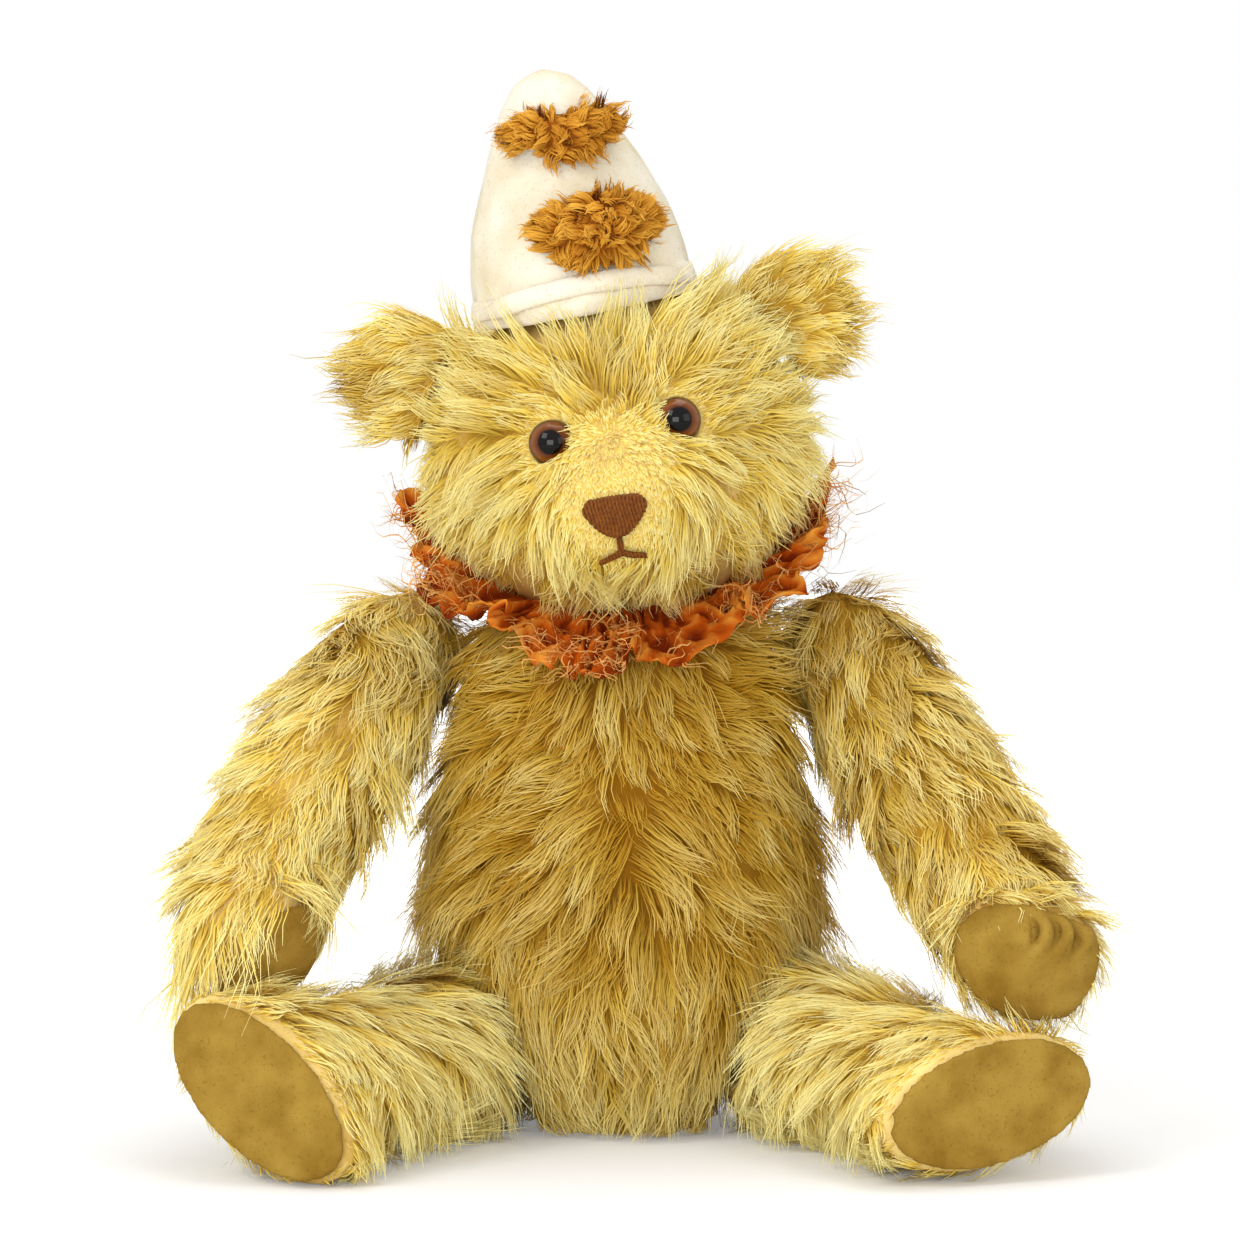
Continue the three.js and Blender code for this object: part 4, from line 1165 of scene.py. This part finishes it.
def cotton_material():
    made, tree, shader = material("orange_cotton", 0.9, 0.1)
    fade = calc(tree, "MULTIPLY_ADD", grain(tree, 70, 4), 0.9, -0.6)
    wear_and_shade = calc(tree, "MULTIPLY_ADD", stored(tree, "share"), 0.2, fade)
    # The creases add painted shade in the fold valleys and painted highlight on the ridges. The grain and the paler
    # cut edge are the cotton's own wear.
    wear_and_shade = calc(tree, "MULTIPLY_ADD", stored(tree, "crease"), 0.75, wear_and_shade)
    colour = ramp(tree, wear_and_shade, [(0.05, srgb(120, 38, 2)), (0.4, srgb(190, 84, 8)), (0.8, srgb(232, 156, 58))])
    tree.links.new(colour, shader.inputs["Base Color"])
    roughen(tree, shader, grain(tree, 1500, 1), 0.5, 0.3 * MM)
    return made


THREAD = strand_material(
    "cotton_thread", (srgb(206, 100, 20), srgb(236, 156, 62)), (srgb(230, 150, 58), srgb(252, 216, 146))
)
ruff = ruff_cloth()

# %% Frayed edge


def fray():
    """Loose threads that grow from the ruff's outer band."""
    mesh = ruff.data.copy()
    work = bmesh.new()
    work.from_mesh(mesh)
    layer = work.verts.layers.float["share"]
    bmesh.ops.delete(work, geom=[v for v in work.verts if v[layer] < FRAY_FROM], context="VERTS")
    work.to_mesh(mesh)
    work.free()
    origin, _, _, up = neck_frame()
    points, normals = points_of(mesh), normals_of(mesh)
    outward = points - origin
    outward -= np.outer(outward @ up, up)
    keep(mesh, "comb", along_surface(outward, normals))
    crumple = np.empty(len(points))
    mesh.attributes["crumple"].data.foreach_get("value", crumple)
    at_sides = smooth_step(np.abs(points[:, 0]), 38 * MM, 56 * MM)
    keep(mesh, "pile", (6.5 + 4 * at_sides + 3 * mottle(points, 9 * MM, 4)) * MM)
    keep(mesh, "thickness", np.clip(0.15 + 0.85 * crumple + 0.5 * mottle(points, 12 * MM, 7), 0.05, 1.2))
    keep(mesh, "tone", 0.55 + 0.4 * mottle(points, 10 * MM, 8))
    sizes = {
        "Strands": 200000.0, "Locks": 150000.0, "Width": 0.5 * MM, "Rise": 0.9, "Wave": 0.55, "Pull": 0.3,
        "Stray": 1.3, "Swirl": 1.6, "Seed": 401, "Steps": 6, "Material": THREAD,
    }
    return grown("neck_ruff_fray", mesh, PILE, sizes)


threads = fray()
wall = ruff.modifiers.new("cloth", "SOLIDIFY")
wall.thickness = RUFF_CLOTH
wall.offset = 0
apply_modifiers(ruff)
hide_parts("neck_ruff")
for piece in (ruff, threads):
    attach(piece, "head")

# %% [markdown]
# ## The face
#
# The eyes are glass buttons: glossy balls with a brown iris and a black pupil on their fronts. The nose is satin
# stitch, thread laid beside thread, and the mouth is three single stitches.

# %% Eyes

GAZE_LIFT = 0.05
GAZE_SPREAD = 0.08


def glass_material():
    made, tree, shader = material("brown_glass", 0.05, 0.22)
    streak = calc(tree, "MULTIPLY_ADD", grain(tree, 420, 2), 0.08, -0.04)
    pupil_then_iris = [
        (0.0, srgb(6, 4, 3)),
        (0.50, srgb(8, 5, 3)),
        (0.56, srgb(92, 44, 14)),
        (0.78, srgb(134, 78, 30)),
        (0.93, srgb(74, 34, 12)),
    ]
    colour = ramp(tree, calc(tree, "ADD", stored(tree, "from_middle"), streak), pupil_then_iris)
    tree.links.new(colour, shader.inputs["Base Color"])
    return made


GLASS = glass_material()


def glass_eye(name, side):
    node = "eye_" + name
    low, high = (np.array(corner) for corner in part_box(node))
    radius = (high - low).max() / 2
    work = bmesh.new()
    bmesh.ops.create_uvsphere(work, u_segments=40, v_segments=28, radius=radius)
    mesh = bpy.data.meshes.new(node + "_glass")
    work.to_mesh(mesh)
    work.free()
    ball = points_of(mesh)
    gaze = unit(np.array([side * GAZE_SPREAD, -1.0, GAZE_LIFT]))
    off_axis = np.linalg.norm(ball - np.outer(ball @ gaze, gaze), axis=1) / radius
    keep(mesh, "from_middle", np.where(ball @ gaze > 0, off_axis, 1.0))
    move_points(mesh, ball + (low + high) / 2)
    piece = finished(new_piece(node + "_glass", mesh), GLASS)
    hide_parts(node)
    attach(piece, "head")


for name, side in SIDES.items():
    glass_eye(name, side)

# %% Nose and mouth

STITCH = 1.05 * MM


def thread_material():
    made, tree, shader = material("brown_thread", 0.6, 0.15)
    # Thread ridges lighter and the grooves between them darker: painted highlight and painted shade, over the
    # thread's own grain.
    ridge = calc(tree, "MULTIPLY_ADD", stored(tree, "ridge"), 0.55, -0.2)
    grain_and_painted_ridge_light = calc(tree, "MULTIPLY_ADD", grain(tree, 900, 2), 0.6, ridge)
    colour = ramp(tree, grain_and_painted_ridge_light, [(0.1, srgb(58, 24, 2)), (0.5, srgb(108, 56, 10)), (0.85, srgb(150, 90, 28))])
    tree.links.new(colour, shader.inputs["Base Color"])
    return made


BROWN_THREAD = thread_material()


def stitched(node, voxel, height):
    """A solid turned into threads laid side by side, with a ridge for each."""
    piece = felted(node, voxel, 4, 0.0, BROWN_THREAD, "_thread")
    mesh = piece.data
    points, normals = points_of(mesh), normals_of(mesh)
    x, _, z = (points - points.mean(axis=0)).T
    ridge = np.abs(np.sin(math.pi * (x + 0.22 * z + 0.25 * MM * np.sin(z / (2 * MM))) / STITCH)) ** 0.6
    keep(mesh, "ridge", ridge)
    move_points(mesh, points + normals * ((ridge - 0.5) * height)[:, None])
    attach(piece, "head")


stitched("nose", 0.36 * MM, 0.5 * MM)
stitched("mouth", 0.34 * MM, 0.12 * MM)

# %% [markdown]
# ## Inside the joints
#
# Boards, washers and pins are hidden in the stuffing. They keep their solids and only get a finish.

# %% Boards and steel


def plain_material(name, roughness, grain_scale, detail, stops):
    made, tree, shader = material(name, roughness)
    tree.links.new(ramp(tree, grain(tree, grain_scale, detail), stops), shader.inputs["Base Color"])
    return made, shader


BOARD, _ = plain_material("board", 0.9, 300, 4, [(0.35, srgb(128, 96, 62)), (0.65, srgb(160, 128, 90))])
STEEL, shader = plain_material("steel", 0.4, 260, 5, [(0.5, srgb(150, 150, 150)), (0.7, srgb(118, 84, 60))])
shader.inputs["Metallic"].default_value = 1.0
for node, solid in frame["nodes"].items():
    if node.endswith(("_disc", "_washer", "_pin")):
        solid.data.materials.clear()
        solid.data.materials.append(BOARD if node.endswith("_disc") else STEEL)

# %% [markdown]
# ## Floor, light and camera
#
# The bear sits on a white floor in soft light from the left, as in a small studio. The camera stands a little above
# the bear's middle and 1.6 m in front of it.

# %% Stage

FLOOR = 4
floor_mesh = bpy.data.meshes.new("floor")
corners = [(-FLOOR, -FLOOR, 0), (FLOOR, -FLOOR, 0), (FLOOR, FLOOR, 0), (-FLOOR, FLOOR, 0)]
floor_mesh.from_pydata(corners, [], [(0, 1, 2, 3)])
floor = new_piece("floor", floor_mesh)
white, tree, shader = material("white_floor", 0.9)
shader.inputs["Base Color"].default_value = (0.9, 0.9, 0.89, 1)
shader.inputs["Emission Color"].default_value = (1, 1, 1, 1)
rays = put(tree, "ShaderNodeLightPath")
spot = vec(tree, "LENGTH", put(tree, "ShaderNodeTexCoord").outputs["Object"])
glow = {0: spot, 1: 0.1, 2: 0.9, 3: 0.2, 4: 1.0}  # from 0.2 at 0.1 m to 1 at 0.9 m
far = put(tree, "ShaderNodeMapRange", glow, interpolation_type="SMOOTHSTEP")
tree.links.new(calc(tree, "MULTIPLY", rays.outputs["Is Camera Ray"], far), shader.inputs["Emission Strength"])
floor_mesh.materials.append(white)
floor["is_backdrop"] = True

world = bpy.data.worlds.new("studio")
bpy.context.scene.world = world
world.use_nodes = True
tree = world.node_tree
sky = tree.nodes["Background"]
sky.inputs["Color"].default_value = (1, 1, 1, 1)
rays = put(tree, "ShaderNodeLightPath")
mirrored = calc(tree, "MAXIMUM", rays.outputs["Is Glossy Ray"], rays.outputs["Is Transmission Ray"])
direct = calc(tree, "MAXIMUM", rays.outputs["Is Camera Ray"], mirrored)
tree.links.new(calc(tree, "MULTIPLY_ADD", direct, 0.45, 0.55), sky.inputs["Strength"])


def lamp(name, place, target, size, power):
    light = bpy.data.lights.new(name, "AREA")
    light.size = size
    light.energy = power
    piece = new_piece(name, light)
    piece.location = place
    piece.rotation_euler = (Vector(target) - Vector(place)).to_track_quat("-Z", "Y").to_euler()


MIDDLE = (0, 0, 0.14)
FEET = (0, 0, 0.03)
lamp("key", (-1.1, -1.2, 1.3), MIDDLE, 0.8, 10.5)
lamp("fill", (1.3, -1.3, 0.6), MIDDLE, 1.0, 5)
lamp("front", (-0.3, -1.9, 0.2), FEET, 1.0, 18.5)
lamp("top", (0.1, 0.2, 1.5), MIDDLE, 0.9, 6.5)

LENS = 155.21
VIEW_FROM = (0, -1.6339, 0.2296)
VIEW_DOWN = 2.613
VIEW_ASIDE = 0.0214
view = bpy.data.cameras.new("view")
view.lens = LENS
view.sensor_width = 36
camera = new_piece("view", view)
camera.location = VIEW_FROM
camera.rotation_euler = (math.radians(90 - VIEW_DOWN), 0, math.radians(VIEW_ASIDE))
bpy.context.scene.camera = camera
bpy.context.scene.view_settings.view_transform = "Standard"

# %% Sizes and finish

new_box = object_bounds()
sizes = {"cad": [list(corner) for corner in cad_box], "visual": [list(corner) for corner in new_box]}
